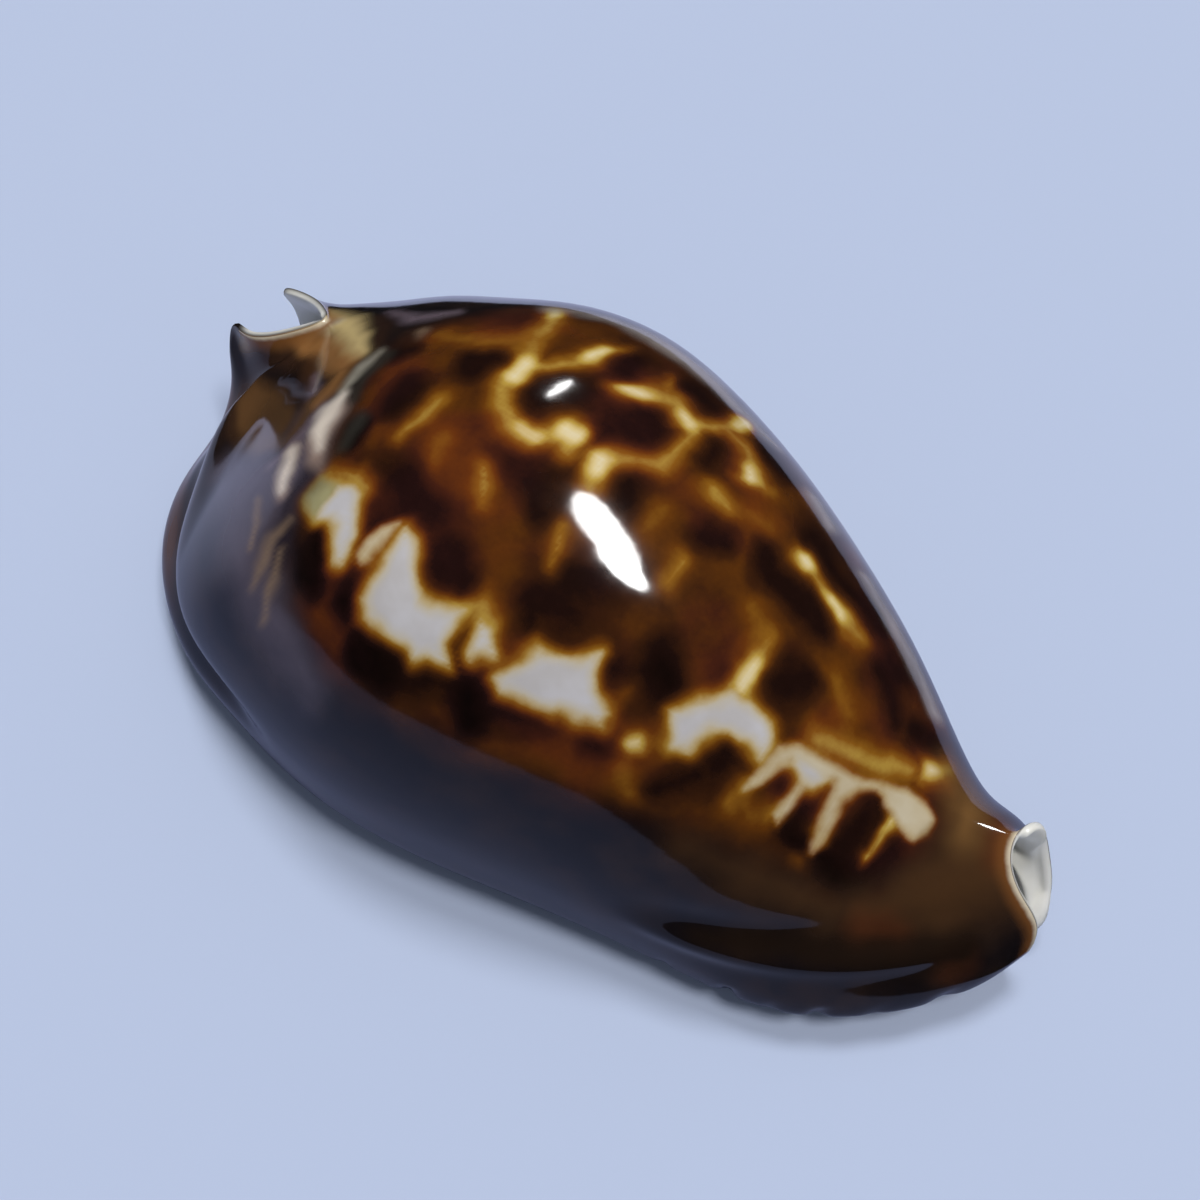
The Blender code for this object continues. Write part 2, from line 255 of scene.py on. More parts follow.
# The two canal rims, arc by arc from the outer lip's edge to the inner's
backRim = (
    ((-34, 1.4, 4), (-34.4, 0.7, 2.5), (-34.7, -0.5, 2.6)),
    ((-34.7, -0.5, 2.6), (-35.1, -1.7, 4.6), (-35.4, -1.8, 8)),
    ((-35.4, -1.8, 8), (-35.9, -0.9, 11.4), (-36.1, 0.2, 13.3), (-34, 0, 14.7), (-31.3, 1.7, 15.9),
     (-29.8, 3.7, 16.5)),
    ((-29.8, 3.7, 16.5), (-30.5, 4.7, 15.9), (-32.6, 5.3, 14.5), (-34.9, 5.1, 13.3), (-35.4, 5.6, 9.6)),
    ((-35.4, 5.6, 9.6), (-35.2, 5.6, 5.4), (-34.9, 5.2, 2.9)),
    ((-34.9, 5.2, 2.9), (-34.4, 4.5, 2.5), (-33.9, 3.7, 4)),
)
frontRim = (
    ((35.6, -0.6, 4.6), (36.2, -0.9, 3.2), (36.8, -1.3, 3.2)),
    ((36.8, -1.3, 3.2), (37.2, -1.5, 4.6), (37.4, -1.2, 6.4)),
    ((37.4, -1.2, 6.4), (36.7, -0.2, 9), (34.7, 0.2, 11.6), (32.7, 1, 13.8), (31.8, 2.7, 14.8)),
    ((31.8, 2.7, 14.8), (32.3, 4.4, 14.1), (33.4, 4.9, 12), (34.7, 4.5, 9.2)),
    ((34.7, 4.5, 9.2), (36, 3.7, 6.6), (36.9, 2.4, 4.2)),
    ((36.9, 2.4, 4.2), (36.9, 1.2, 2.9), (35.9, 0.3, 3.8)),
)


def softStep(value, low, high):
    t = np.clip((value - low) / (high - low), 0, 1)
    return t * t * (3 - 2 * t)


def softWindow(value, rise, top, fall, end):
    return softStep(value, rise, top) * (1 - softStep(value, fall, end))


def smoothCurve(points, places):
    # a natural cubic through the points, read at places counted in points
    points = np.asarray(points, float)
    last = len(points) - 1
    bend = np.zeros_like(points)
    if last > 1:
        beside = np.ones(last - 2)
        across = np.diag([4.0] * (last - 1)) + np.diag(beside, 1) + np.diag(beside, -1)
        pull = 6 * (points[2:] - 2 * points[1:-1] + points[:-2])
        bend[1:-1] = np.linalg.solve(across, pull.reshape(last - 1, -1)).reshape(pull.shape)
    places = np.asarray(places, float)
    i = np.clip(places.astype(int), 0, last - 1)
    t = (places - i).reshape((-1,) + (1,) * (points.ndim - 1))
    p, q, b, c = points[i], points[i + 1], bend[i], bend[i + 1]
    return p * (1 - t) + q * t - (b * (2 - t) + c * (1 + t)) * t * (1 - t) / 6


def evenSteps(line, faces):
    reach = np.concatenate(([0.0], np.cumsum(np.linalg.norm(np.diff(line, axis=0), axis=1))))
    places = np.linspace(0, reach[-1], faces + 1)
    return np.stack([np.interp(places, reach, line[:, k]) for k in range(3)], axis=1)


def joinArcs(arcs):
    parts = [evenSteps(arc, faces)[:-1] for arc, faces in zip(arcs, shellForm["arcFaces"])]
    return np.concatenate(parts + [arcs[-1][-1:]])


def rimRing(rim):
    points = [rim[0][0]]
    ends = [0]
    for arc in rim:
        points += list(arc[1:])
        ends.append(len(points) - 1)
    steps = shellForm["rimSteps"]
    return joinArcs([smoothCurve(points, np.linspace(a, b, steps * (b - a) + 1))
                     for a, b in zip(ends, ends[1:])])


def quarter(start, stop, fullness, flatFirst):
    # a quarter turn from one place to the next: 2 is an ellipse, more is squarer
    turn = np.linspace(0, pi / 2, shellForm["arcSteps"] + 1)
    power = 2 / fullness
    rise, run = 1 - np.abs(np.cos(turn)) ** power, np.sin(turn) ** power
    if not flatFirst:
        rise, run = run, rise
    lean = (1 - np.cos(2 * turn)) / 2
    return np.stack([start[0] + (stop[0] - start[0]) * lean,
                     start[1] + (stop[1] - start[1]) * run,
                     start[2] + (stop[2] - start[2]) * rise], axis=1)


def leftOf(x, y):
    return np.array((-y, x)) / np.hypot(x, y)


def sectionRing(n, inside):
    (xOuter, xCrest, xInner, xBase, outerY, outerZ, innerY, innerZ, crestY, crestZ,
     baseZ, slitY, slitWidth, fullOuter, fullInner) = stations[n]
    form = shellForm
    edgeOuter, edgeInner = slitY - slitWidth / 2, slitY + slitWidth / 2
    lipOuter, lipInner = edgeOuter - outerY, innerY - edgeInner
    rollOuter = min(form["rollOuter"][0], form["rollOuter"][1] * lipOuter)
    rollInner = min(form["rollInner"][0], form["rollInner"][1] * lipInner)
    depth = form["lipDepth"] * min(1, (outerZ - baseZ) / form["fullDepthRise"])
    outerEdge = np.array((xBase, edgeOuter, baseZ + depth))
    outerBase = np.array((xBase, edgeOuter - rollOuter, baseZ))
    outerMargin = np.array((xOuter, outerY, outerZ))
    crest = np.array((xCrest, crestY, crestZ))
    innerMargin = np.array((xInner, innerY, innerZ))
    innerBase = np.array((xBase, edgeInner + rollInner, baseZ))
    innerEdge = np.array((xBase, edgeInner, baseZ + depth))
    if inside:
        floorZ = outerEdge[2] - form["lipStep"]
        outerEdge[1] -= min(form["wallLip"][0], form["wallLip"][1] * lipOuter)
        innerEdge[1] += min(form["wallLip"][0], form["wallLip"][1] * lipInner)
        outerBase[2] = innerBase[2] = floorZ
        before, after = stations[max(n - 1, 0)], stations[min(n + 1, len(stations) - 1)]
        thick, share = form["wallMargin"]
        outerMargin[:2] += min(thick, share * lipOuter) * leftOf(after[0] - before[0], after[4] - before[4])
        innerMargin[:2] += min(thick, share * lipInner) * leftOf(before[2] - after[2], before[6] - after[6])
        outerMargin[2] = max(outerMargin[2], floorZ) + form["marginLift"]
        innerMargin[2] = max(innerMargin[2], floorZ) + form["marginLift"]
        crest[[0, 2]] += form["wallDome"] * leftOf(before[1] - after[1], before[9] - after[9])
    roll, outerFull, innerFull = form["fullness"]
    return joinArcs((
        quarter(outerEdge, outerBase, roll, False),
        quarter(outerBase, outerMargin, outerFull, True),
        quarter(outerMargin, crest, fullOuter, False),
        quarter(crest, innerMargin, fullInner, True),
        quarter(innerMargin, innerBase, innerFull, False),
        quarter(innerBase, innerEdge, roll, True)))


def insideRim(rim, beside, side, wall):
    # the rim's ring moved in by the wall, straight across inside the lips' rolls
    across = np.gradient(rim, axis=0)
    inward = np.cross(across, beside - rim)
    inward *= side / np.linalg.norm(inward, axis=1)[:, None]
    ring = rim + inward * wall
    last = len(ring) - 1
    share = shellForm["rimLipShare"]
    outerEdge = rim[0] + (ring[0] - rim[0]) * share
    innerEdge = rim[last] + (ring[last] - rim[last]) * share
    chord = shellForm["arcFaces"][0] + shellForm["rimStraight"]
    for k in range(chord):
        ring[k] = outerEdge + (ring[chord] - outerEdge) * k / chord
        ring[last - k] = innerEdge + (ring[last - chord] - innerEdge) * k / chord
    return ring


def ringPlaces(control):
    # places along the stations, so that the rings lie about evenly along the shell
    fine = np.linspace(0, len(control) - 1, shellForm["lengthSteps"] + 1)
    rings = smoothCurve(control, fine)
    step = np.linalg.norm(np.diff(rings, axis=0), axis=2).mean(axis=1)
    reach = np.concatenate(([0.0], np.cumsum(step)))
    return np.interp(np.linspace(0, reach[-1], shellForm["rings"]), reach, fine)


def makeSkins():
    # the outer skin, and the hollow's with every other point of it
    counted = range(len(stations))
    control = np.array([rimRing(backRim)] + [sectionRing(n, False) for n in counted] + [rimRing(frontRim)])
    places = ringPlaces(control)
    outer = smoothCurve(control, places)
    beside = shellForm["besideRim"]
    backNear, frontNear = smoothCurve(control, [beside, len(control) - 1 - beside])
    backWall, frontWall = shellForm["wallRim"]
    backInside = insideRim(control[0], backNear, 1, backWall)
    frontInside = insideRim(control[-1], frontNear, -1, frontWall)
    cavity = np.array([backInside] + [sectionRing(n, True) for n in counted] + [frontInside])
    cavity = smoothCurve(cavity, places)[::2, ::2]
    for skin in (outer, cavity):
        skin[..., :2] -= shellForm["center"]
        skin[..., 2] = np.maximum(skin[..., 2], 0.0)
    return outer, cavity


def gridNormals(grid):
    along = np.gradient(grid, axis=0)
    across = np.gradient(grid, axis=1)
    normals = np.cross(along, across)
    length = np.linalg.norm(normals, axis=2, keepdims=True)
    return normals / np.maximum(length, 1e-9)


def reachAcross(outer):
    # each point's distance from the outer lip's edge, along its section
    reach = np.zeros(outer.shape[:2])
    reach[:, 1:] = np.cumsum(np.linalg.norm(np.diff(outer, axis=1), axis=2), axis=1)
    return reach


# Low relief on the dome's outer side, in mm: where along the shell it fades in and out, how far
# up from the margin it lies, its half width, and how far it stands out
reliefs = {
    "tailFlange": {"along": (-36.5, -34.5, -26.0, -18.0), "up": 0.4, "half": 1.2, "out": 0.2},
    "tailLedge": {"along": (-34.5, -31.5, -22.0, -14.0), "up": 3.8, "half": 1.9, "out": -1.0},
    "earShoulder": {"along": (-37.5, -34.5, -32.5, -28.0), "up": 9.8, "half": 2.6, "out": 1.2},
    "frontShelf": {"along": (11.0, 18.0, 30.5, 34.5), "up": 5.6, "half": 1.2, "out": 0.42},
    "frontHollow": {"along": (11.0, 18.0, 29.0, 33.0), "up": 8.2, "half": 1.6, "out": -0.32},
}
reliefRows = 14             # next to each rim, over which the relief fades in
# Notches in the front's outer margin: x and depth of each, half width, and how far up they fade
notchForm = {
    "cuts": ((16.4, 0.15), (21.3, 0.42), (24.4, 0.12), (27.4, 0.38), (30.6, 0.12), (33.9, 0.3)),
    "half": 0.55,
    "up": (-4.5, -2.5, 0.0, 1.6),
}
# The tail flange's tint: where along the shell, and how far up from the margin it fades
flangeForm = {"along": (-38.0, -37.0, -32.5, -27.0), "top": (1.6, 3.4)}


def addRelief(outer):
    # raises the relief and cuts the notches, and gives the share of the tail flange's tint
    margin = sum(shellForm["arcFaces"][:2])
    reach = reachAcross(outer)
    up = reach - reach[:, margin:margin + 1]
    x = outer[..., 0]
    out = np.zeros(outer.shape[:2])
    for relief in reliefs.values():
        bump = np.exp(-((up - relief["up"]) / relief["half"]) ** 2)
        out += relief["out"] * softWindow(x, *relief["along"]) * bump
    row = np.arange(outer.shape[0])
    out *= softStep(np.minimum(row, row[::-1]), 0, reliefRows)[:, None]
    low = softWindow(up, *notchForm["up"])
    for place, depth in notchForm["cuts"]:
        out -= depth * low * np.exp(-((x - place) / notchForm["half"]) ** 2)
    outer += gridNormals(outer) * out[..., None]
    return softWindow(x, *flangeForm["along"]) * (1 - softStep(up, *flangeForm["top"]))


# The inner lip swells into the front canal and leaves a small hole at its top
canalForm = {
    # x in mm, and the height of the hollow's floor there
    "floor": ((19.0, -2.0), (24.0, 6.0), (28.0, 7.6), (31.0, 8.6), (33.0, 8.4), (34.8, 6.4), (36.6, 3.2)),
    "starts": (19.0, 24.0),
    "soft": 0.8,            # how softly the floor meets the wall over it
    "lean": 1.3,            # how far it leans over the slit, and between which rises
    "leanRise": (0.2, 3.0),
    "rimFade": 4,           # rows and steps over which it ends at the rim and the lip's edge
    "lipFade": 5,
    "smoothStarts": (20.0, 25.0),
    "smoothFade": 5,
    "smoothRounds": 24,
    "smoothPull": 0.7,
}


def fillCanal(cavity):
    rows, steps = np.indices(cavity.shape[:2])
    faces = np.cumsum((0,) + shellForm["arcFaces"]) // 2
    places, heights = zip(*canalForm["floor"])
    rise = np.interp(cavity[..., 0], places, heights) - cavity[..., 2]
    rise = (rise + np.hypot(rise, canalForm["soft"])) / 2
    weight = (steps >= faces[3]) * softStep(cavity[..., 0], *canalForm["starts"])
    weight *= softStep(rows[::-1], 0, canalForm["rimFade"])
    weight *= softStep(faces[6] - steps, 0, canalForm["lipFade"])
    cavity[..., 1] -= softStep(rise, *canalForm["leanRise"]) * weight * canalForm["lean"]
    cavity[..., 2] += rise * weight


def smoothCanal(cavity):
    # away with the fold that the filling leaves, up to the rim and the lips' edges
    rows, steps = np.indices(cavity.shape[:2])
    fade = canalForm["smoothFade"]
    weight = softStep(rows[::-1], 0, fade) * softStep(np.minimum(steps, steps[:, ::-1]), 0, fade)
    weight *= softStep(cavity[..., 0], *canalForm["smoothStarts"])
    pull = weight[1:-1, 1:-1, None] * canalForm["smoothPull"]
    for turn in range(canalForm["smoothRounds"]):
        middle = (cavity[:-2, 1:-1] + cavity[2:, 1:-1] + cavity[1:-1, :-2] + cavity[1:-1, 2:]) / 4
        cavity[1:-1, 1:-1] += (middle - cavity[1:-1, 1:-1]) * pull


def keepWall(outer, cavity):
    # nowhere nearer to the outside than the least wall, apart from the rim that it is joined to
    rings, width = outer.shape[:2]
    points = [Vector(p) for p in outer.reshape(-1, 3)]
    quads = [(n, n + width, n + width + 1, n + 1) for i in range(rings - 1)
             for n in range(i * width, (i + 1) * width - 1)]
    tree = bvhtree.BVHTree.FromPolygons(points, quads)
    least = shellForm["leastWall"]
    moved = 0
    for i in range(1, cavity.shape[0] - 1):
        for j in range(1, cavity.shape[1] - 1):
            here = Vector(cavity[i, j])
            near, normal, _, _ = tree.find_nearest(here)
            if (near - here).dot(normal) < least:
                cavity[i, j] = near - normal * least
                moved += 1
    print("hollow's points moved in to keep the wall:", moved)


toothForm = {
    # count, first and last place along the lip, height, and how far from its edge they run, in mm
    "outer": (22, -27.6, 32.4, 0.62, 7.5),
    "inner": (17, -25.6, 30.9, 0.45, 5.5),
    "narrow": 1.6,          # more leaves wider grooves between the ridges
    "start": (-1.0, 0.2),   # where the first and the last fade, in teeth
    "stop": (0.0, 1.2),
    "fade": 0.55,           # share of their run over which they sink
    "edge": (0.6, 1.5),     # share of their height at the lip's edge, and where it is full
    "rise": 0.7,            # share of the height that the skin is raised by
    "lowest": 0.0,
}


def raiseTeeth(outer):
    # ridges across both lips: round on top, with narrower grooves between them
    reach = reachAcross(outer)
    least, full = toothForm["edge"]
    teeth = np.zeros(outer.shape[:2])
    for side, distance in (("outer", reach), ("inner", reach[:, -1:] - reach)):
        count, first, last, height, out = toothForm[side]
        place = (outer[..., 0] - first) / (last - first) * (count - 1)
        ridge = np.cos(pi * (place - np.round(place))) ** toothForm["narrow"]
        ends = softStep(place, *toothForm["start"]) * softStep(count - place, *toothForm["stop"])
        fade = softStep(out - distance, 0.0, out * toothForm["fade"])
        fade *= least + (1 - least) * softStep(distance, 0.0, full)
        teeth = np.maximum(teeth, ridge * ends * fade * height)
    outer += gridNormals(outer) * (teeth * toothForm["rise"])[..., None]
    outer[..., 2] = np.maximum(outer[..., 2], toothForm["lowest"])
    return teeth


def gridObject(name, grid):
    rings, width = grid.shape[:2]
    deselectAll()
    bpy.ops.mesh.primitive_grid_add(
        x_subdivisions=rings - 1, y_subdivisions=width - 1, size=1.0, calc_uvs=True)
    made = bpy.context.object
    made.name = name
    flat = np.empty(len(made.data.vertices) * 3, np.float32)
    made.data.vertices.foreach_get("co", flat)
    flat = flat.reshape(-1, 3)
    ring = np.rint((flat[:, 0] + 0.5) * (rings - 1)).astype(int)
    step = np.rint((flat[:, 1] + 0.5) * (width - 1)).astype(int)
    made.data.vertices.foreach_set("co", (grid[ring, step] * mm).astype(np.float32).ravel())
    for label, values in (("ring", ring), ("step", step)):
        made.data.attributes.new(label, "INT", "POINT").data.foreach_set("value", values.astype(np.int32))
    made.data.update()
    return made


def borderOf(grid):
    return np.concatenate([grid[0], grid[1:, -1], grid[-1, -2::-1], grid[-2:0:-1, 0]])


def gridIndex(grid):
    return np.stack(np.indices(grid.shape[:2]), axis=2)


def closeRim(shell, outer, cavity):
    # a rounded strip from the outer skin's border to the hollow's, which has every other point
    rows = shellForm["roundRows"]
    bm = bmesh.new()
    bm.from_mesh(shell.data)
    bm.verts.ensure_lookup_table()
    size = outer.shape[0] * outer.shape[1]
    ring, step = bm.verts.layers.int["ring"], bm.verts.layers.int["step"]
    where = {(n >= size, v[ring], v[step]): v for n, v in enumerate(bm.verts)}
    border = borderOf(gridIndex(outer))
    start, sparse = borderOf(outer), borderOf(cavity)
    across = np.empty_like(start)
    across[::2] = sparse
    across[1::2] = (sparse + np.roll(sparse, -1, axis=0)) / 2
    across -= start
    # outwards at the rim: away from the next row of the skin, square to the wall
    inner = np.clip(border, 1, np.array(outer.shape[:2]) - 2)
    away = start - outer[inner[:, 0], inner[:, 1]]
    square = np.maximum((across ** 2).sum(1), 1e-9)[:, None]
    away -= (away * across).sum(1)[:, None] * across / square
    away /= np.maximum(np.linalg.norm(away, axis=1), 1e-9)[:, None]
    away *= np.linalg.norm(across, axis=1)[:, None] * shellForm["roundReach"]
    strip = [[where[(False, i, j)] for i, j in border]]
    for n in range(1, rows):
        turn = pi * n / rows
        line = start + across * (1 - cos(turn)) / 2 + away * sin(turn)
        line[:, 2] = np.maximum(line[:, 2], 0.0)
        strip.append([bm.verts.new(p * mm) for p in line])
    for row, following in zip(strip, strip[1:]):
        for k in range(len(row)):
            bm.faces.new((row[k - 1], row[k], following[k], following[k - 1]))
    row = strip[-1]
    hollow = [where[(True, i, j)] for i, j in borderOf(gridIndex(cavity))]
    for k, (here, following) in enumerate(zip(hollow, hollow[1:] + hollow[:1])):
        first, middle, last = row[2 * k], row[2 * k + 1], row[(2 * k + 2) % len(row)]
        bm.faces.new((first, middle, here))
        bm.faces.new((middle, following, here))
        bm.faces.new((middle, last, following))
    bm.to_mesh(shell.data)
    bm.free()


def makeShell():
    outer, cavity = makeSkins()
    flangeShare = addRelief(outer)
    fillCanal(cavity)
    smoothCanal(cavity)
    keepWall(outer, cavity)
    teeth = raiseTeeth(outer)
    shell = gridObject("shellGlaze", outer)
    hollow = gridObject("hollow", cavity)
    pickOnly(shell)
    hollow.select_set(True)
    bpy.ops.object.join()
    closeRim(shell, outer, cavity)
    pickOnly(shell)
    bpy.ops.object.mode_set(mode="EDIT")
    bpy.ops.mesh.select_all(action="SELECT")
    bpy.ops.mesh.normals_make_consistent(inside=False)
    bpy.ops.object.mode_set(mode="OBJECT")
    bpy.ops.object.shade_smooth()
    print("shell made:", outer.shape, len(shell.data.polygons), "faces")
    return shell, outer, cavity, teeth, flangeShare


# The markings, placed as seen from above, in mm, each layer over the ones before it. A
# level runs from 0, near black, over brown, rust and gold to 0.9, cream. A stroke's points are
# (x, y, radius), and soft is the width of its edge.
markings = {
    "rustField": {"level": 0.345, "soft": 4, "strokes": (
        ((-20, 3.4, 1.6), (-18.6, 7.6, 1.4), (-14.6, 9.4, 1.6)),
        ((-13.2, 2.6, 1.2), (-12.6, -1.2, 1.2), (-11, 0.6, 1)),
        ((-10.6, 10.2, 1), (-11.4, 12.6, 1)),
        ((-6.4, -3.4, 1.4), (-4.6, -4.2, 1.2)),
        ((1, 9.6, 0.8), (1.6, 6, 1.2), (2.6, 2.6, 1.2)),
        ((6.6, 9.4, 1), (6.6, 4.4, 1.2), (9, 2.6, 1.2)),
        ((6.2, 11.8, 1), (4.8, 9.6, 0.8)),
        ((15.6, 8, 1), (15.4, 4.6, 1.2), (18.4, 5, 1.4)),
        ((-13.4, -12.8, 1), (-11.6, -13.2, 0.8)),
        ((3.4, -10.8, 0.9), (8.4, -9.6, 0.9), (12.6, -7.6, 0.7), (16.4, -6.6, 0.6)),
        ((-4.6, -13.6, 0.5), (2, -12.2, 0.6)),
    )},
    "gold": {"level": 0.62, "soft": 2.2, "strokes": (
        ((-14.9, 2.3, 0.6), (-15.1, 0.4, 0.8), (-15.3, -1.3, 0.5)),
        ((-9.2, -0.2, 0.5), (-8.3, -1.4, 0.7), (-7.8, -2.2, 0.3)),
        ((-14.3, 13.4, 0.8), (-13.5, 12.3, 0.9), (-13.1, 10.3, 0.9), (-12.7, 8.9, 0.9), (-11.9, 7.3, 1.1),
         (-11.9, 5.3, 0.9), (-11.1, 4, 1), (-9.9, 3.2, 1.1), (-8.2, 3.1, 1.1), (-7.2, 4.2, 1),
         (-6.3, 5, 1.2), (-5.7, 4, 0.9)),
        ((-11.9, 7.3, 0.8), (-10.7, 8.3, 0.8), (-9.7, 9.5, 0.7), (-9.2, 10.9, 0.9), (-8.6, 12.5, 0.8),
         (-8, 13.3, 0.5)),
        ((-6.4, 9.7, 0.6), (-5.4, 10.3, 0.8), (-4.2, 11.3, 0.9), (-3, 11.9, 0.9), (-1.6, 11.3, 1.1),
         (-0.4, 11.9, 0.7), (0.3, 13.3, 0.7), (0.7, 14.8, 0.8)),
        ((-4, 11.6, 0.4), (-4.4, 13.6, 0.3)),
        ((0.7, 13.1, 0.5), (2.1, 13.1, 0.6), (3.1, 12.3, 0.7), (3.8, 11.3, 0.9), (4.8, 11.4, 0.4)),
        ((3.6, 11.2, 0.7), (3.4, 10.5, 0.4)),
        ((-0.8, 10.8, 0.7), (-0.6, 8.6, 0.7), (-0.7, 7, 0.8), (-2, 6.5, 0.6), (-3, 5.6, 0.8),
         (-3.6, 4.3, 1.1), (-3.1, 2.9, 0.8)),
        ((2.9, 7.9, 1), (4.1, 7.8, 0.6)),
        ((9.6, 9.2, 0.8), (11.2, 8.6, 0.7), (12.9, 8.6, 1.1), (14.2, 8.3, 0.8), (15.6, 8, 0.4)),
        ((4.2, 2.9, 0.5), (4.3, 1.2, 0.4)),
        ((11.2, 3.2, 0.5), (11.3, 1.6, 0.9), (11.4, 0.4, 0.9)),
        ((-2.7, -0.4, 0.5), (-2.4, -1.6, 0.6), (-2, -2.7, 0.3)),
        ((-18.2, -5.2, 0.5), (-16.4, -5, 0.7), (-15.2, -5.2, 0.5)),
        ((-5.4, -8, 0.5), (-4.2, -7.2, 0.6), (-3.2, -7.6, 0.5)),
        ((17, 0.8, 0.8), (19.4, 1.8, 0.9), (21.6, 2.9, 1), (22.8, 3.9, 0.8)),
        ((24, 4.2, 0.6), (24.1, 5.2, 1), (25.2, 6.4, 0.9)),
        ((15, -4.6, 0.5), (14.9, -6, 0.4)),
        ((17.5, -3.8, 0.4), (17.3, -5, 0.3)),
        ((20.6, -4, 0.4), (20.5, -5.4, 0.2)),
    )},
    "amber": {"level": 0.5, "soft": 2.4, "strokes": (
        ((-13.4, 9.6, 0.8), (-15.3, 8.1, 0.8), (-17.3, 7.6, 0.7), (-19.6, 7.2, 0.6)),
        ((-12.8, -0.4, 0.8), (-12.4, -1.4, 0.5)),
        ((5.3, 8.7, 0.4), (6.5, 9.3, 0.4)),
        ((9.2, 3.8, 0.5), (10.4, 3, 0.5)),
        ((1.1, 4.4, 0.5), (1.3, 3, 0.4)),
        ((8.2, -8.8, 0.7), (9.4, -9.4, 0.4)),
        ((5.9, -6, 0.4), (6.4, -5.2, 0.3)),
        ((8, -7.4, 0.6), (9.4, -6.4, 0.5)),
        ((15.8, 4.4, 0.7), (17.6, 3.4, 0.8)),
        ((16.4, -5.6, 0.4), (15.6, -5.2, 0.3)),
    )},
    "cream": {"level": 0.9, "soft": 1.5, "strokes": (
        ((-14.6, 13.7, 0.4), (-14, 13, 0.3)),
        ((-12, 7.6, 0.5), (-11.8, 6.4, 0.5)),
        ((-6.9, 5, 0.5), (-5.9, 5.2, 0.6)),
        ((-9.2, 3.3, 0.2), (-8, 3.3, 0.3)),
        ((-9.3, 10.9, 0.4), (-8.9, 12.2, 0.3)),
        ((-5.9, 10, 0.3), (-4.8, 10.7, 0.4)),
        ((-2, 11.5, 0.3), (-1.2, 11.1, 0.3)),
        ((0.6, 14, 0.2), (0.7, 15, 0.5)),
        ((3.5, 11.6, 0.3), (3.9, 11.2, 0.4)),
        ((-3.8, 4.7, 0.6), (-3.5, 4, 0.5)),
        ((9.5, 9.3, 0.5), (9.9, 9, 0.5)),
        ((12.5, 8.7, 0.3), (13.5, 8.4, 0.4)),
        ((7.8, -7.5, 0.3), (8.2, -7.1, 0.3)),
        ((24, 5.1, 0.4), (24.3, 5.3, 0.3)),
        ((11.3, 1.2, 0.4), (11.4, -0.4, 0.6)),
        ((24, 0.6, 0.4), (23.9, -1, 0.3), (23.8, -2.2, 0.3)),
    )},
    "dark": {"level": 0.13, "soft": 1.8, "strokes": (
        ((-14.9, 5.8, 1.5), (-14.2, 6.8, 0.8)),
        ((-21, 4.4, 0.8), (-20, 5.4, 0.6)),
        ((-18, 2.6, 1), (-17.7, 0.4, 1.1)),
        ((-9.6, 5.8, 1), (-8.6, 7.4, 1.3), (-7.6, 8, 1)),
        ((-6.9, 11.6, 1.1), (-7, 13.2, 0.8)),
        ((-3.4, 8.9, 1.3), (-2.9, 8.4, 1.4)),
        ((-1.2, 4.6, 0.9), (-0.8, 3.2, 0.8)),
        ((0.9, 11, 0.7), (1.2, 9.6, 0.6)),
        ((-3.2, 14.2, 0.9), (-1.2, 14, 0.6)),
        ((5.3, 5.9, 1), (4.2, 5, 0.8)),
        ((7.6, 7.4, 0.9), (8.6, 6.4, 1.1), (11.2, 6.7, 1.2), (13.2, 6.3, 0.9)),
        ((5.2, 14, 0.8), (3, 14.4, 0.5)),
        ((9, 11.2, 0.8), (12.4, 10.4, 0.8), (15.4, 10, 0.6)),
        ((13.6, 1.4, 1.2), (14.2, 2.8, 1.1)),
        ((6.6, -2.6, 1.5), (7.6, -3.8, 1.3)),
        ((-7.4, -6.4, 1.6), (-6, -6.6, 1)),
        ((0.2, -4.4, 1), (-1.6, -5, 1.2), (-0.8, -6.4, 0.7)),
        ((-13.4, -3.6, 1.3), (-11.8, -4.2, 1.2), (-9.8, -4.4, 0.8)),
        ((-6, 0.6, 0.8), (-4.6, -0.8, 0.8)),
        ((21.6, 6.4, 0.9), (23.2, 7.4, 0.8)),
        ((18, 7.6, 0.8), (20.4, 5.6, 0.7)),
        ((5.6, -8.9, 0.7), (6.6, -9, 0.5)),
        ((10.7, -8.3, 0.7), (12.4, -6.2, 0.6)),
        ((-13, -8.6, 0.3), (-12.8, -7, 0.3)),
        ((-12.6, -10.4, 0.6), (-11.8, -11.2, 0.6)),
        ((-10, -12.8, 0.8), (-5.2, -12.8, 0.8), (-3.4, -11.2, 0.8), (-0.4, -11.6, 0.8), (3, -10.2, 0.4)),
        ((12.8, -3.9, 0.9), (12.9, -5, 0.9)),
        ((17, -2.7, 0.3), (16.9, -3.1, 0.4)),
        ((19.3, -1.4, 0.3), (19, -2.8, 0.6), (18.8, -4.4, 0.7)),
        ((22.2, 0.2, 0.5), (22.2, -1.8, 0.9), (22.4, -3.6, 1.1)),
        ((23.3, 0.2, 0.2), (23.2, -1.6, 0.3)),
        ((24.8, -0.4, 0.3), (24.9, -2.4, 0.6)),
    )},
    "black": {"level": 0.03, "soft": 1.6, "strokes": (
        ((-9.4, -13.4, 1.3), (-7.6, -13.4, 1.2)),
        ((-2.4, -11.6, 1), (-1.4, -12.3, 1.2)),
        ((-16, -9.6, 0.7), (-15.6, -11.2, 1.1), (-14.4, -12, 0.7)),
        ((-12.2, -11.6, 0.7), (-11.6, -12.2, 0.5)),
        ((-18.9, -1.4, 0.7), (-18.4, -2.8, 0.6)),
        ((7, -3.2, 0.7), (7.6, -3.4, 0.6)),
        ((19.4, -4.6, 0.5), (22.6, -4.4, 0.7), (24.8, -3.8, 0.4)),
    )},
}
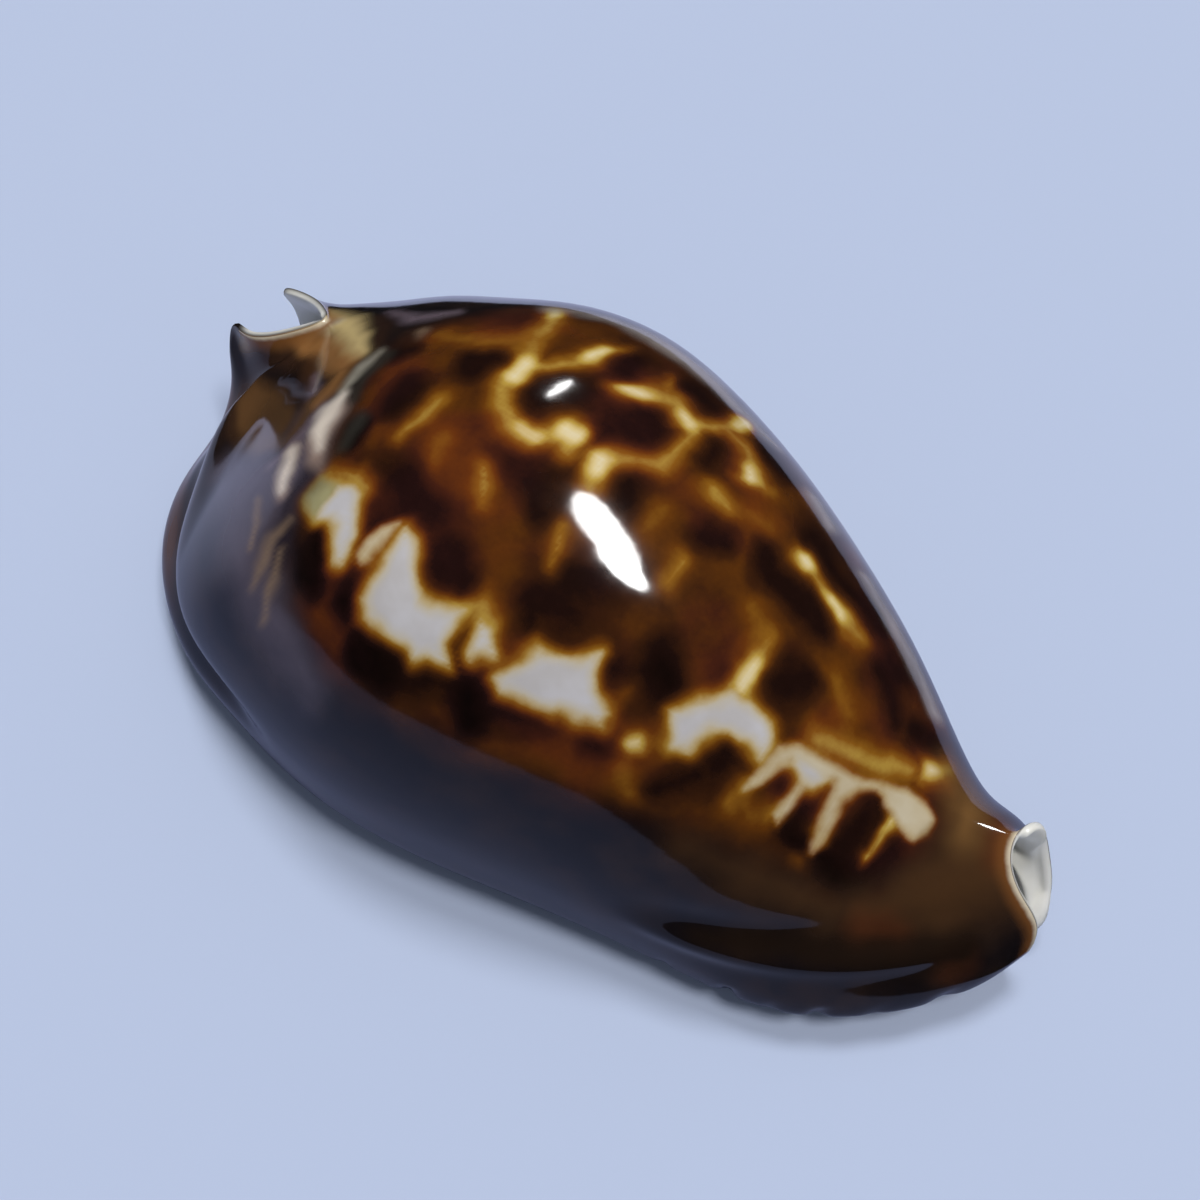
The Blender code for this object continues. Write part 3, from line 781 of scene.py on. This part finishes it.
# The pale patches, by their outlines: reach is where their edge starts and ends, inwards, halo
# the level of the gold round them and where it starts and ends, and border how far in a white
# patch goes from cream to white.
patches = {
    "olive": {"reach": (-0.45, 0.5), "halo": (0.62, -1, 0.1), "outlines": (
        ((-19, -5.7), (-16.9, -6.1), (-17, -8.4), (-18, -8), (-18.9, -7.2)),
    )},
    "cream": {"reach": (-0.34, 0.5), "halo": (0.6, -0.62, 0.12), "outlines": (
        ((-11.7, -6), (-11.9, -7.4), (-12, -8.8), (-12.4, -9.3), (-12.9, -8.9), (-12.8, -7.8),
         (-12.4, -6.8)),
        ((15.1, -4.8), (15.3, -3), (15.5, -1.5), (16.5, -0.3), (18.1, 0.1), (20.1, 0.7), (21.3, 1.5),
         (22.5, 2.3), (23.7, 2.9), (25, 3.1), (26.1, 2.6), (26.4, 1.6), (25.8, 0.9), (24.8, 0.9),
         (23.2, 1.1), (22.6, 1.6), (21.9, 1.5), (21, 0.5), (20.7, -0.7), (20.8, -2.1), (20.8, -3.3),
         (20.7, -4.6), (20.3, -3.3), (20, -2.1), (20, -0.8), (19.4, -0.4), (18.6, -0.9), (18.2, -2.1),
         (18, -4.6), (17.6, -4.4), (17.6, -2), (17.2, -1.4), (16.6, -1.6), (16.1, -2.3), (15.8, -3.7)),
    )},
    "white": {"reach": (-0.32, 0.36), "halo": (0.66, -1.2, 0.15), "border": (0, 0.8), "outlines": (
        ((-16.9, -6.1), (-16, -5.6), (-15.3, -5.9), (-14.5, -6.9), (-13.9, -8.1), (-13.7, -9.8),
         (-14.4, -9.9), (-15, -9.1), (-15.5, -8.2), (-16.1, -8), (-16.9, -8.3), (-17.2, -7.2)),
        ((-11.1, -6.2), (-10.1, -6.6), (-9.2, -7.3), (-8.3, -8.3), (-7.6, -8.9), (-6.6, -8.8),
         (-5.7, -8.5), (-5, -8.1), (-4.9, -10.1), (-4.2, -11.1), (-5.6, -11.3), (-6.3, -11.9),
         (-6.9, -11.5), (-8.6, -11.7), (-10.3, -11.6), (-10.9, -10.9), (-11.1, -9.1), (-11.2, -7.3)),
        ((-3.8, -7.9), (-3, -7.9), (-2.3, -8.5), (-1.8, -9.1), (-2.6, -9.4), (-3.1, -9.9), (-3.4, -9.1)),
        ((-1.1, -9.9), (-0.1, -8.1), (0.3, -7), (1.7, -6.5), (2.5, -6.1), (3.4, -4.7), (3.9, -6.1),
         (4.5, -6.9), (5.9, -7.3), (5.9, -7.9), (4.5, -8.6), (3.3, -8.9), (2.7, -9.4), (1.1, -9.7),
         (-0.3, -10.3)),
        ((8.9, -4.4), (9.6, -3.6), (10.6, -2.3), (11.1, -1.1), (12.6, -0.7), (14.2, -0.9), (14.8, -1.7),
         (14.9, -2.7), (13.8, -2.6), (12.4, -2.9), (11.6, -3.5), (11.2, -4.5), (10.9, -5.6), (10.1, -6.1),
         (9.6, -5.3)),
        ((16.6, -0.9), (17.8, -0.5), (19, -0.7), (18.6, -1.6), (17.6, -2), (16.7, -1.7)),
    )},
}
# The edge of the patterned dome, seen from above. Outside it the glaze is plain.
domeEdge = (
    (-20, -2.7), (-19.2, -5.5), (-19, -7.3), (-17.9, -9.1), (-16.5, -11.4), (-15.3, -13), (-13.5, -14.2),
     (-11.1, -15), (-8, -15.4), (-5, -15), (-1, -14.1), (3, -13.1), (7, -11.9), (10.4, -10.3), (14, -8.7),
     (17, -7.4), (20.5, -6.2), (23.5, -5), (26, -3), (26.8, 0), (27, 3), (26.2, 6), (24.4, 8.6),
     (21.6, 10.2), (18, 11.6), (15, 13), (11, 14.6), (6.3, 15.8), (1.7, 16.2), (-4, 16.6), (-8, 16.4),
     (-11, 15.6), (-14, 14.4), (-17, 11.4), (-19, 9.6), (-20.8, 7), (-21.8, 4.6), (-21.6, 2), (-20.8, 0),
)
# Soft tints on the plain glaze round the dome, each over the ones before it. broken is how much
# of it is cloudy, and over how much of it shows on the dome too.
tints = {
    "beakBrown": {"color": (0.066, 0.03, 0.012), "amount": 0.95, "broken": 0.25, "soft": 5, "strokes": (
        ((25.6, -4.4, 2), (28.4, -1, 3), (30.6, 2.6, 3.2), (28.6, 5, 2.6)),
        ((14, -9.4, 0.6), (19, -7.8, 0.8), (24, -5.8, 1.2)),
    )},
    "beakRust": {"color": (0.11, 0.03, 0.01), "amount": 0.7, "broken": 0.3, "soft": 2.6, "strokes": (
        ((26.4, -5.4, 0.8), (28.6, -4.2, 0.8)),
        ((30.2, 5.4, 0.8), (31, 3.8, 0.8)),
        ((32.6, -3.4, 0.5), (33.6, -2.4, 0.4)),
    )},
    "beakTan": {"color": (0.2, 0.098, 0.03), "amount": 0.8, "broken": 0.2, "soft": 3.4, "over": 0.7,
     "strokes": (
        ((25.4, 6.6, 1.2), (27.4, 5, 1.5), (28.2, 3.4, 0.8)),
    )},
    "veil": {"color": (0.09, 0.07, 0.09), "amount": 0.9, "broken": 0.3, "soft": 3.6, "strokes": (
        ((-28.4, -5.8, 1.6), (-24.6, -7.4, 2.8), (-21.4, -11.2, 2.4), (-17.4, -14.2, 1.4),
         (-12, -16.4, 0.8)),
        ((-23.4, -2, 1.6), (-21.6, -5, 1.8), (-20.2, -9, 1)),
    )},
    "veilDark": {"color": (0.018, 0.012, 0.018), "amount": 0.8, "broken": 0.2, "soft": 1.8, "strokes": (
        ((-20.2, -5, 0.5), (-19.8, -8.6, 0.5), (-18, -11.2, 0.5)),
    )},
    "tailPocket": {"color": (0.105, 0.05, 0.019), "amount": 0.95, "broken": 0.25, "soft": 1.8,
     "strokes": (
        ((-33, -0.4, 1.4), (-30.4, -1.4, 2.2), (-27, -2.6, 1.8)),
        ((-24.6, -0.4, 0.8), (-24, -3.6, 0.6)),
    )},
    "pocketLight": {"color": (0.15, 0.088, 0.052), "amount": 0.8, "broken": 0.3, "soft": 1.6, "strokes": (
        ((-29.4, -4, 0.4), (-26.4, -4.4, 0.8), (-25, -4.2, 0.4)),
    )},
    "tailBrown": {"color": (0.34, 0.155, 0.048), "amount": 0.9, "broken": 0.2, "soft": 1.8, "strokes": (
        ((-34.8, 3, 0.5), (-31.6, 4.6, 0.9), (-28, 4.4, 1.2), (-24.6, 3, 1.2)),
        ((-24, 2, 0.6), (-23.8, 0.8, 0.5), (-24, -0.6, 0.3)),
    )},
    "tailGold": {"color": (0.78, 0.58, 0.25), "amount": 0.85, "broken": 0.15, "soft": 2, "strokes": (
        ((-35.2, 3.2, 0.2), (-32.4, 5, 0.4), (-30.6, 7, 1), (-28.2, 6.9, 1.1), (-26, 5.6, 0.9),
         (-24, 4.2, 0.5)),
    )},
    "tailDark": {"color": (0.032, 0.015, 0.009), "amount": 0.95, "broken": 0.1, "soft": 1.5, "strokes": (
        ((-34, 1.7, 0.3), (-31.4, 3.1, 0.7), (-28.6, 2.8, 0.7), (-27.4, 1.4, 0.7), (-26.2, -0.4, 0.4)),
        ((-34.2, 0.4, 0.3), (-33.4, -1.6, 0.3), (-31.6, -3.4, 0.3), (-29, -4.4, 0.2)),
        ((-23, 4.8, 0.5), (-24.4, 7, 0.8), (-26.4, 8, 0.5)),
    )},
    "mauve": {"color": (0.17, 0.125, 0.145), "amount": 0.85, "broken": 0.3, "soft": 1.3, "strokes": (
        ((-26.8, 1.7, 0.4), (-25.4, 0.4, 0.5)),
        ((-23.1, -0.8, 0.3), (-23.1, -3.4, 0.3), (-24, -6, 0.3)),
        ((-26, 9, 0.3), (-22.8, 8.4, 0.6), (-20.4, 10.2, 0.3)),
    )},
    "tailCream": {"color": (0.52, 0.47, 0.36), "amount": 0.8, "broken": 0.3, "soft": 1.2, "strokes": (
        ((-30.4, 6.2, 0.4), (-29.6, 7, 0.3)),
        ((-22.3, 4.4, 0.2), (-22.6, 2.6, 0.3), (-22.7, 0.8, 0.2)),
    )},
    "film": {"color": (0.34, 0.235, 0.185), "amount": 0.85, "broken": 0.35, "soft": 1.4, "strokes": (
        ((-21.6, -1, 0.9), (-21.2, -3.2, 1), (-20.4, -4.4, 0.8), (-19.2, -5, 0.4)),
        ((-22.8, -4.6, 0.5), (-22.2, -6, 0.5), (-21, -7.6, 0.4)),
    )},
    "filmPale": {"color": (0.86, 0.74, 0.6), "amount": 0.9, "broken": 0.3, "soft": 1.2, "strokes": (
        ((-22.2, 0.3, 0.4), (-22.3, -1.1, 0.8), (-21.8, -2.5, 0.7), (-20.6, -3.9, 0.3)),
        ((-22.9, -4.6, 0.3), (-22.2, -5.9, 0.4), (-21.3, -7.3, 0.2)),
    )},
    "filmTan": {"color": (0.26, 0.17, 0.105), "amount": 0.75, "broken": 0.5, "soft": 1.1, "strokes": (
        ((-19, -9, 0.1), (-19.6, -10.4, 0.3), (-19.2, -12.2, 0.4), (-19, -13.6, 0.1)),
        ((-18.2, -11, 0.1), (-17.6, -13.4, 0.2), (-17.2, -14.8, 0.1)),
        ((-23, -8.4, 0.1), (-21.6, -9.8, 0.2), (-20.8, -11.4, 0.1)),
        ((-20.9, 7.2, 0.4), (-20.4, 6.4, 0.2)),
    )},
    "greenish": {"color": (0.035, 0.033, 0.026), "amount": 0.7, "broken": 0.2, "soft": 1.2, "over": 1,
     "strokes": (
        ((-19.4, -1, 0.5), (-18.8, -3.4, 0.4)),
        ((-21.5, 4.4, 0.3), (-21.8, 2, 0.4), (-20.9, 0.2, 0.4)),
    )},
    "farVeil": {"color": (0.56, 0.49, 0.44), "amount": 0.55, "broken": 0.3, "soft": 1.6, "over": 0.7,
     "strokes": (
        ((-15, 13.6, 0.4), (-11.6, 15.6, 0.5), (-8, 16.4, 0.7), (-4, 16.6, 0.9), (-1, 16.2, 0.5),
         (3, 15.8, 0.2)),
        ((7.4, 14.4, 0.6), (9, 13.8, 0.5)),
        ((13, 12.6, 0.3), (18, 10.8, 0.4), (22, 9.2, 0.4)),
    )},
    "shelfBrown": {"color": (0.012, 0.0065, 0.004), "amount": 0.9, "broken": 0.1, "soft": 2, "strokes": (
        ((17.6, -12.7, 0.6), (20, -11.2, 0.8), (23, -9.3, 1), (25.7, -8, 1.2), (29, -5.4, 1.4),
         (33, -2, 1.2)),
    )},
}
brush = {
    "seed": 7,              # without one, the noise is another at each run
    "waver": 0.34,          # how far the strokes' edges wander, in mm
    "waverSize": 2.2,       # and over what length
    "fine": 0.10,           # a finer wander on top
    "fineSize": 0.9,
    "blotchSize": 3.6,
    "ground": 0.25,         # level of the dome between the strokes
    "groundSwing": 0.18,
    "edgeSoft": 1.5,
    "deepest": 2.0,         # a patch's depth is kept up to this, in mm
    "farSide": 5.0,         # past this y the tints end where the side turns steep
    "steep": (0.12, 0.42),
}


def strokeWeight(x, y, stroke, soft):
    nearest = np.full(x.shape, -9.0)
    for (ax, ay, ar), (bx, by, br) in zip(stroke, stroke[1:]):
        dx, dy = bx - ax, by - ay
        t = np.clip(((x - ax) * dx + (y - ay) * dy) / max(dx * dx + dy * dy, 1e-9), 0, 1)
        depth = ar + (br - ar) * t - np.hypot(x - ax - dx * t, y - ay - dy * t)
        nearest = np.maximum(nearest, depth)
    return softStep(nearest / soft, -0.5, 0.5)


def layerWeight(x, y, layer):
    return np.max([strokeWeight(x, y, stroke, layer["soft"]) for stroke in layer["strokes"]], axis=0)


def depthInside(x, y, outline):
    # distance from an outline, positive inside it
    inside = np.zeros(x.shape, bool)
    nearest = np.full(x.shape, 99.0)
    for (ax, ay), (bx, by) in zip(outline, outline[1:] + outline[:1]):
        dx, dy = bx - ax, by - ay
        t = np.clip(((x - ax) * dx + (y - ay) * dy) / (dx * dx + dy * dy), 0, 1)
        nearest = np.minimum(nearest, np.hypot(x - ax - dx * t, y - ay - dy * t))
        if dy:
            crosses = ((ay > y) != (by > y)) & (x < ax + dx * (y - ay) / dy)
            inside ^= crosses
    return np.where(inside, nearest, -nearest)


def waverAt(points, size, shift):
    at = [noise.noise_vector((Vector(p) + Vector(shift)) / size) for p in points]
    return np.array([tuple(v) for v in at])


def paintDome(points, above, steep):
    noise.seed_set(brush["seed"])
    waver = waverAt(points, brush["waverSize"], (40, 0, 0)) * brush["waver"]
    waver += waverAt(points, brush["fineSize"], (0, 70, 0)) * brush["fine"]
    x, y = (points + waver)[:, :2].T
    blotch = waverAt(points, brush["blotchSize"], (0, 0, 90))[:, 0]
    pale = brush["ground"] + brush["groundSwing"] * blotch
    for layer in markings.values():
        weight = layerWeight(x, y, layer)
        pale = pale * (1 - weight) + layer["level"] * weight
    painted = {}
    deepest = brush["deepest"]
    for kind in reversed(patches):
        level, start, stop = patches[kind]["halo"]
        depth = np.max([depthInside(x, y, outline) for outline in patches[kind]["outlines"]], axis=0)
        halo = softStep(depth, start, stop)
        pale = np.where(level > pale, pale * (1 - halo) + level * halo, pale)
        painted[kind + "Patch"] = np.where(above, np.clip(depth, -deepest, deepest), -deepest)
    soft = brush["edgeSoft"]
    plain = np.where(above, 1 - softStep(depthInside(x, y, domeEdge), -soft, soft), 1.0)
    tinted = above * np.where(points[:, 1] > brush["farSide"], softStep(steep, *brush["steep"]), 1.0)
    for name, tint in tints.items():
        painted[name] = layerWeight(x, y, tint) * tinted * np.maximum(plain, tint.get("over", 0.0))
    painted.update({"pale": pale, "plain": plain})
    return painted


# The rims, the lips and the inside, in mm
edgeForm = {
    "canalRings": 60,           # rings at each end that belong to a canal
    "earRim": (-36.0, -34.4),   # x over which the rim goes from the ear's brown to cream,
    "earInside": (-36.2, -34.8),    # and its edge to white
    "notchEnd": -20.0,          # behind this only the edge's inner half turns white,
    "notchRows": (0.6, 2.6),    # over these rows of it
    "lipFade": (2.5, 8.0),      # from the lips' edges outwards
    "baseFade": (-30, 4),       # steps from the outer lip's roll over which the sides turn to base
    # painted shade: the hollow's white turns grey away from the rims, and less so at the back
    "hollowShadeFade": (3.2, 7.0),     # into the hollow, over which painted shade darkens its white
    "hollowShadeAtBack": 0.3,
    "away": 9.0,                # stands for far from a canal's rim
    "leastShare": 0.05,
}


def paintEdges(points, ring, step, onOuter, stripRow, above, outer):
    form = edgeForm
    border = borderOf(outer)
    tree = kdtree.KDTree(len(border))
    for n, p in enumerate(border):
        tree.insert(Vector(p), n)
    tree.balance()
    away = np.array([tree.find(Vector(p))[2] for p in points])
    x = points[:, 0]
    ends = np.cumsum((0,) + shellForm["arcFaces"])
    toRoll = ends[3] - ends[1]
    toEnd = np.minimum(ring, outer.shape[0] - 1 - ring)
    rimShare = softStep(x, *form["earRim"])
    canal = onOuter & (toEnd < form["canalRings"]) & (step > ends[1]) & (step < ends[5])
    rim = np.where(canal, away, form["away"])
    inside = np.where(onOuter, 0.0, 1.0)
    onStrip = stripRow > 0
    inside[onStrip] *= softStep(x[onStrip], *form["earInside"])
    thin = onStrip & (x < form["notchEnd"])
    start, stop = form["notchRows"]
    inside[thin] *= np.clip((stripRow[thin] - start) / (stop - start), 0, 1)
    # painted shade deep in the hollow, where little light reaches
    deep = np.where(onOuter | onStrip, 0.0, softStep(away, *form["hollowShadeFade"]))
    baseStart, baseStop = form["baseFade"]
    return {
        "rim": np.where(rimShare > 0, rim / np.maximum(rimShare, form["leastShare"]), form["away"]),
        "inside": inside,
        "deep": deep * np.where(x < 0, form["hollowShadeAtBack"], 1.0),
        "lip": np.where(onOuter, 1 - softStep(away, *form["lipFade"]), 1.0) * (1 - above),
        "base": onOuter * softStep(np.abs(step - ends[3]), toRoll + baseStart, toRoll + baseStop),
    }


def paintShell(shell, outer, cavity, teeth, flangeShare):
    # every point's place in mm, its ring and step, and its row of the strip that rounds the rims
    mesh = shell.data
    count = len(mesh.vertices)
    flat = np.empty(count * 3, np.float32)
    mesh.vertices.foreach_get("co", flat)
    points = flat.reshape(-1, 3).astype(float) / mm
    ring, step = np.empty(count, np.int32), np.empty(count, np.int32)
    for label, values in (("ring", ring), ("step", step)):
        mesh.attributes[label].data.foreach_get("value", values)
        mesh.attributes.remove(mesh.attributes[label])
    size = outer.shape[0] * outer.shape[1]
    onOuter = np.arange(count) < size
    past = np.arange(count) - size - cavity.shape[0] * cavity.shape[1]
    stripRow = np.maximum(past // len(borderOf(outer)) + 1, 0)
    firstFlank, lastFlank = sum(shellForm["arcFaces"][:2]), sum(shellForm["arcFaces"][:4])
    above = (step > firstFlank) & (step < lastFlank) & onOuter
    steep = gridNormals(outer)[..., 2]

    painted = paintDome(points, above, steep[ring, step] * onOuter)
    painted.update(paintEdges(points, ring, step, onOuter, stripRow, above, outer))
    painted["tooth"] = teeth[ring, step] * onOuter
    painted["flange"] = flangeShare[ring, step] * onOuter
    for name, values in painted.items():
        mesh.attributes.new(name, "FLOAT", "POINT").data.foreach_set("value", values.astype(np.float32))
    print("markings painted on", int(onOuter.sum()), "points")


glaze = {
    # stops of the patterned dome, by level, in its brown and its redder parts
    "dome": ((0.0, (0.0045, 0.0022, 0.0016)), (0.14, (0.014, 0.0050, 0.0034)),
             (0.27, (0.050, 0.0155, 0.0045)), (0.40, (0.135, 0.041, 0.0045)), (0.52, (0.27, 0.110, 0.010)),
             (0.66, (0.52, 0.335, 0.060)), (0.80, (0.74, 0.58, 0.26)), (0.92, (0.82, 0.72, 0.50))),
    "domeRed": ((0.0, (0.0045, 0.0022, 0.0020)), (0.14, (0.019, 0.0060, 0.0052)),
                (0.27, (0.062, 0.0150, 0.0070)), (0.40, (0.15, 0.036, 0.006)), (0.52, (0.26, 0.090, 0.010)),
                (0.66, (0.50, 0.31, 0.060)), (0.80, (0.70, 0.54, 0.26)), (0.92, (0.80, 0.70, 0.50))),
    "patchBorder": (0.60, 0.52, 0.38),
    "whitePatch": (0.62, 0.595, 0.60),
    "whitePatchShade": (0.54, 0.505, 0.485),
    "creamPatch": (0.66, 0.57, 0.40),
    "creamPatchShade": (0.58, 0.47, 0.29),
    "olivePatch": (0.42, 0.38, 0.19),
    "olivePatchShade": (0.30, 0.26, 0.12),
    "plain": (0.007, 0.005, 0.006),
    "plainWarm": (0.020, 0.011, 0.008),
    "flange": (0.085, 0.036, 0.018),
    "base": (0.10, 0.055, 0.03),
    "tooth": (0.62, 0.52, 0.38),
    "rimBrown": (0.20, 0.075, 0.020),
    "rimCream": (0.72, 0.62, 0.45),
    "white": (0.90, 0.88, 0.82),
    "whiteShade": (0.80, 0.78, 0.70),
    # the painted shade deep in the hollow
    "deep": (0.30, 0.285, 0.25),
    "wander": (900.0, 4.0),         # scale and detail of the noises
    "grain": (2600.0, 3.0),
    "cloud": (260.0, 3.0),
    "redness": (130.0, 2.0),
    "levelWander": 0.08,
    "levelGrain": 0.04,
    "edgeWander": 0.35,             # mm
    "rimWander": 0.3,
    "redFrom": (0.42, 0.62),        # noise between which one colour turns into the other
    "shadeFrom": (0.3, 0.7),
    "warmFrom": (0.35, 0.75),
    "toothFrom": (0.05, 0.4),       # mm
    "brownFrom": (0.2, 1.6),
    "brownMost": 0.85,
    "creamFrom": (0.0, 0.5),
    "roughness": 0.085,
    "roughWander": 0.03,
    "roughInside": 0.25,
    "roughVeil": 0.14,
    "bumpStrength": 0.05,
    "bumpHeight": 0.4,
    "ior": 1.45,
}


def domeColor(sheet, where, wander, cloud):
    grain = sheet.noise(where, *glaze["grain"]) - 0.5
    level = sheet.attribute("pale") + wander * glaze["levelWander"] + grain * glaze["levelGrain"]
    brown, red = (sheet.make("ShaderNodeValToRGB", {"stops": glaze[name]}, {"Fac": level}, "Color")
                  for name in ("dome", "domeRed"))
    color = sheet.blend(sheet.between(sheet.noise(where, *glaze["redness"]), *glaze["redFrom"]), brown, red)
    for kind, patch in patches.items():
        light, shade = glaze[kind + "Patch"], glaze[kind + "PatchShade"]
        tone = sheet.blend(sheet.between(cloud, *glaze["shadeFrom"]), light, shade)
        depth = sheet.attribute(kind + "Patch") + wander * glaze["edgeWander"]
        if "border" in patch:
            tone = sheet.blend(sheet.between(depth, *patch["border"]), glaze["patchBorder"], tone)
        color = sheet.blend(sheet.between(depth, *patch["reach"]), color, tone)
    return color


def plainColor(sheet, color, cloud):
    plain = sheet.blend(sheet.between(cloud, *glaze["warmFrom"]), glaze["plain"], glaze["plainWarm"])
    color = sheet.blend(sheet.attribute("plain"), color, plain)
    for name, tint in tints.items():
        whole = tint["amount"] * (1 - tint["broken"])
        amount = sheet.attribute(name) * (whole + cloud * 2.0 * tint["broken"])
        color = sheet.blend(amount, color, tint["color"])
    return sheet.blend(sheet.attribute("flange"), color, glaze["flange"])


def edgeColor(sheet, color, wander, cloud):
    base = sheet.blend(sheet.attribute("lip"), glaze["plain"], glaze["base"])
    color = sheet.blend(sheet.attribute("base"), color, base)
    color = sheet.blend(sheet.between(sheet.attribute("tooth"), *glaze["toothFrom"]), color, glaze["tooth"])
    rim = sheet.attribute("rim") + wander * glaze["rimWander"]
    most = glaze["brownMost"]
    color = sheet.blend(most - sheet.between(rim, *glaze["brownFrom"]) * most, color, glaze["rimBrown"])
    color = sheet.blend(1 - sheet.between(rim, *glaze["creamFrom"]), color, glaze["rimCream"])
    white = sheet.blend(sheet.between(cloud, *glaze["shadeFrom"]), glaze["white"], glaze["whiteShade"])
    # painted shade: the white turns grey deeper in the hollow
    white = sheet.blend(sheet.attribute("deep"), white, glaze["deep"])
    return sheet.blend(sheet.attribute("inside"), color, white)


def makeGlaze():
    material, sheet = newMaterial("shellGlaze")
    where = sheet.make("ShaderNodeTexCoord", {}, {}, "Object")
    wander = sheet.noise(where, *glaze["wander"]) - 0.5
    cloud = sheet.noise(where, *glaze["cloud"])
    color = plainColor(sheet, domeColor(sheet, where, wander, cloud), cloud)
    color = edgeColor(sheet, color, wander, cloud)
    roughness = glaze["roughness"] + wander * glaze["roughWander"]
    roughness = roughness + sheet.attribute("inside") * glaze["roughInside"]
    roughness = roughness + sheet.attribute("veil") * glaze["roughVeil"]
    bump = sheet.make("ShaderNodeBump", {}, {
        "Height": cloud, "Strength": glaze["bumpStrength"], "Distance": glaze["bumpHeight"] * mm}, "Normal")
    shader = sheet.make("ShaderNodeBsdfPrincipled", {}, {
        "Base Color": color, "Roughness": roughness, "IOR": glaze["ior"], "Normal": bump}, "BSDF")
    sheet.node("ShaderNodeOutputMaterial", {}, {"Surface": shader})
    return material


def floorPaint(name, near, far):
    material, sheet = newMaterial(name)
    where = sheet.make("ShaderNodeTexCoord", {}, {}, "Object")
    x = sheet.make("ShaderNodeSeparateXYZ", {}, {"Vector": where}, "X")
    y = sheet.make("ShaderNodeSeparateXYZ", {}, {"Vector": where}, "Y")
    start, stop = room["mirroredTurn"]
    share = sheet.between(y - x * room["mirroredSlant"], start * mm, stop * mm)
    shader = sheet.make("ShaderNodeBsdfPrincipled", {}, {
        "Base Color": sheet.blend(share, near, far),
        "Roughness": room["floorRoughness"], "Specular IOR Level": room["floorShine"]}, "BSDF")
    sheet.node("ShaderNodeOutputMaterial", {}, {"Surface": shader})
    return material


def makeFloor():
    deselectAll()
    bpy.ops.mesh.primitive_plane_add(size=room["floorSize"])
    floor = bpy.context.object
    floor.name = "floor"
    floor.data.materials.append(floorPaint("paleFloor", room["floorColor"], room["floorColor"]))
    floor.visible_glossy = False
    # what the glaze mirrors of it ends a little behind the shell, where the room is dark
    reach = room["mirroredReach"]
    deselectAll()
    bpy.ops.mesh.primitive_circle_add(
        vertices=len(reach), fill_type="NGON", location=(0, 0, room["mirroredLift"] * mm))
    mirrored = bpy.context.object
    mirrored.name = "mirroredFloor"
    for vertex, (turn, far) in zip(mirrored.data.vertices, reach):
        vertex.co = (far * mm * cos(radians(turn)), far * mm * sin(radians(turn)), 0)
    mirrored.data.materials.append(floorPaint("mirroredFloor", room["mirroredNear"], room["mirroredFar"]))
    mirrored.visible_camera = False
    mirrored.visible_diffuse = False
    mirrored.visible_shadow = False


def makeSky():
    world = bpy.data.worlds.new("room")
    world.use_nodes = True
    sheet = Sheet(world.node_tree)
    gloss = sheet.make("ShaderNodeLightPath", {}, {}, "Is Glossy Ray")
    strength = room["skyStrength"] - gloss * (room["skyStrength"] - room["skyInGloss"])
    sky = sheet.make("ShaderNodeBackground", {}, {"Color": (*room["skyColor"], 1), "Strength": strength})
    sheet.node("ShaderNodeOutputWorld", {}, {"Surface": sky})
    bpy.context.scene.world = world


bpy.context.scene.view_settings.view_transform = "Standard"
addCamera()
makeFloor()
makeSky()
for sunName, settings in suns.items():
    addSun(sunName, *settings)
for lampName, settings in lamps.items():
    addLamp(lampName, *settings)
print("camera, floor and light are in place")

shell, outerSkin, cavitySkin, toothRise, flangeTint = makeShell()
paintShell(shell, outerSkin, cavitySkin, toothRise, flangeTint)
shell.data.materials.clear()
shell.data.materials.append(makeGlaze())
print("shell finished:", len(shell.data.vertices), "points")

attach(shell, "root")
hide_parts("shell")
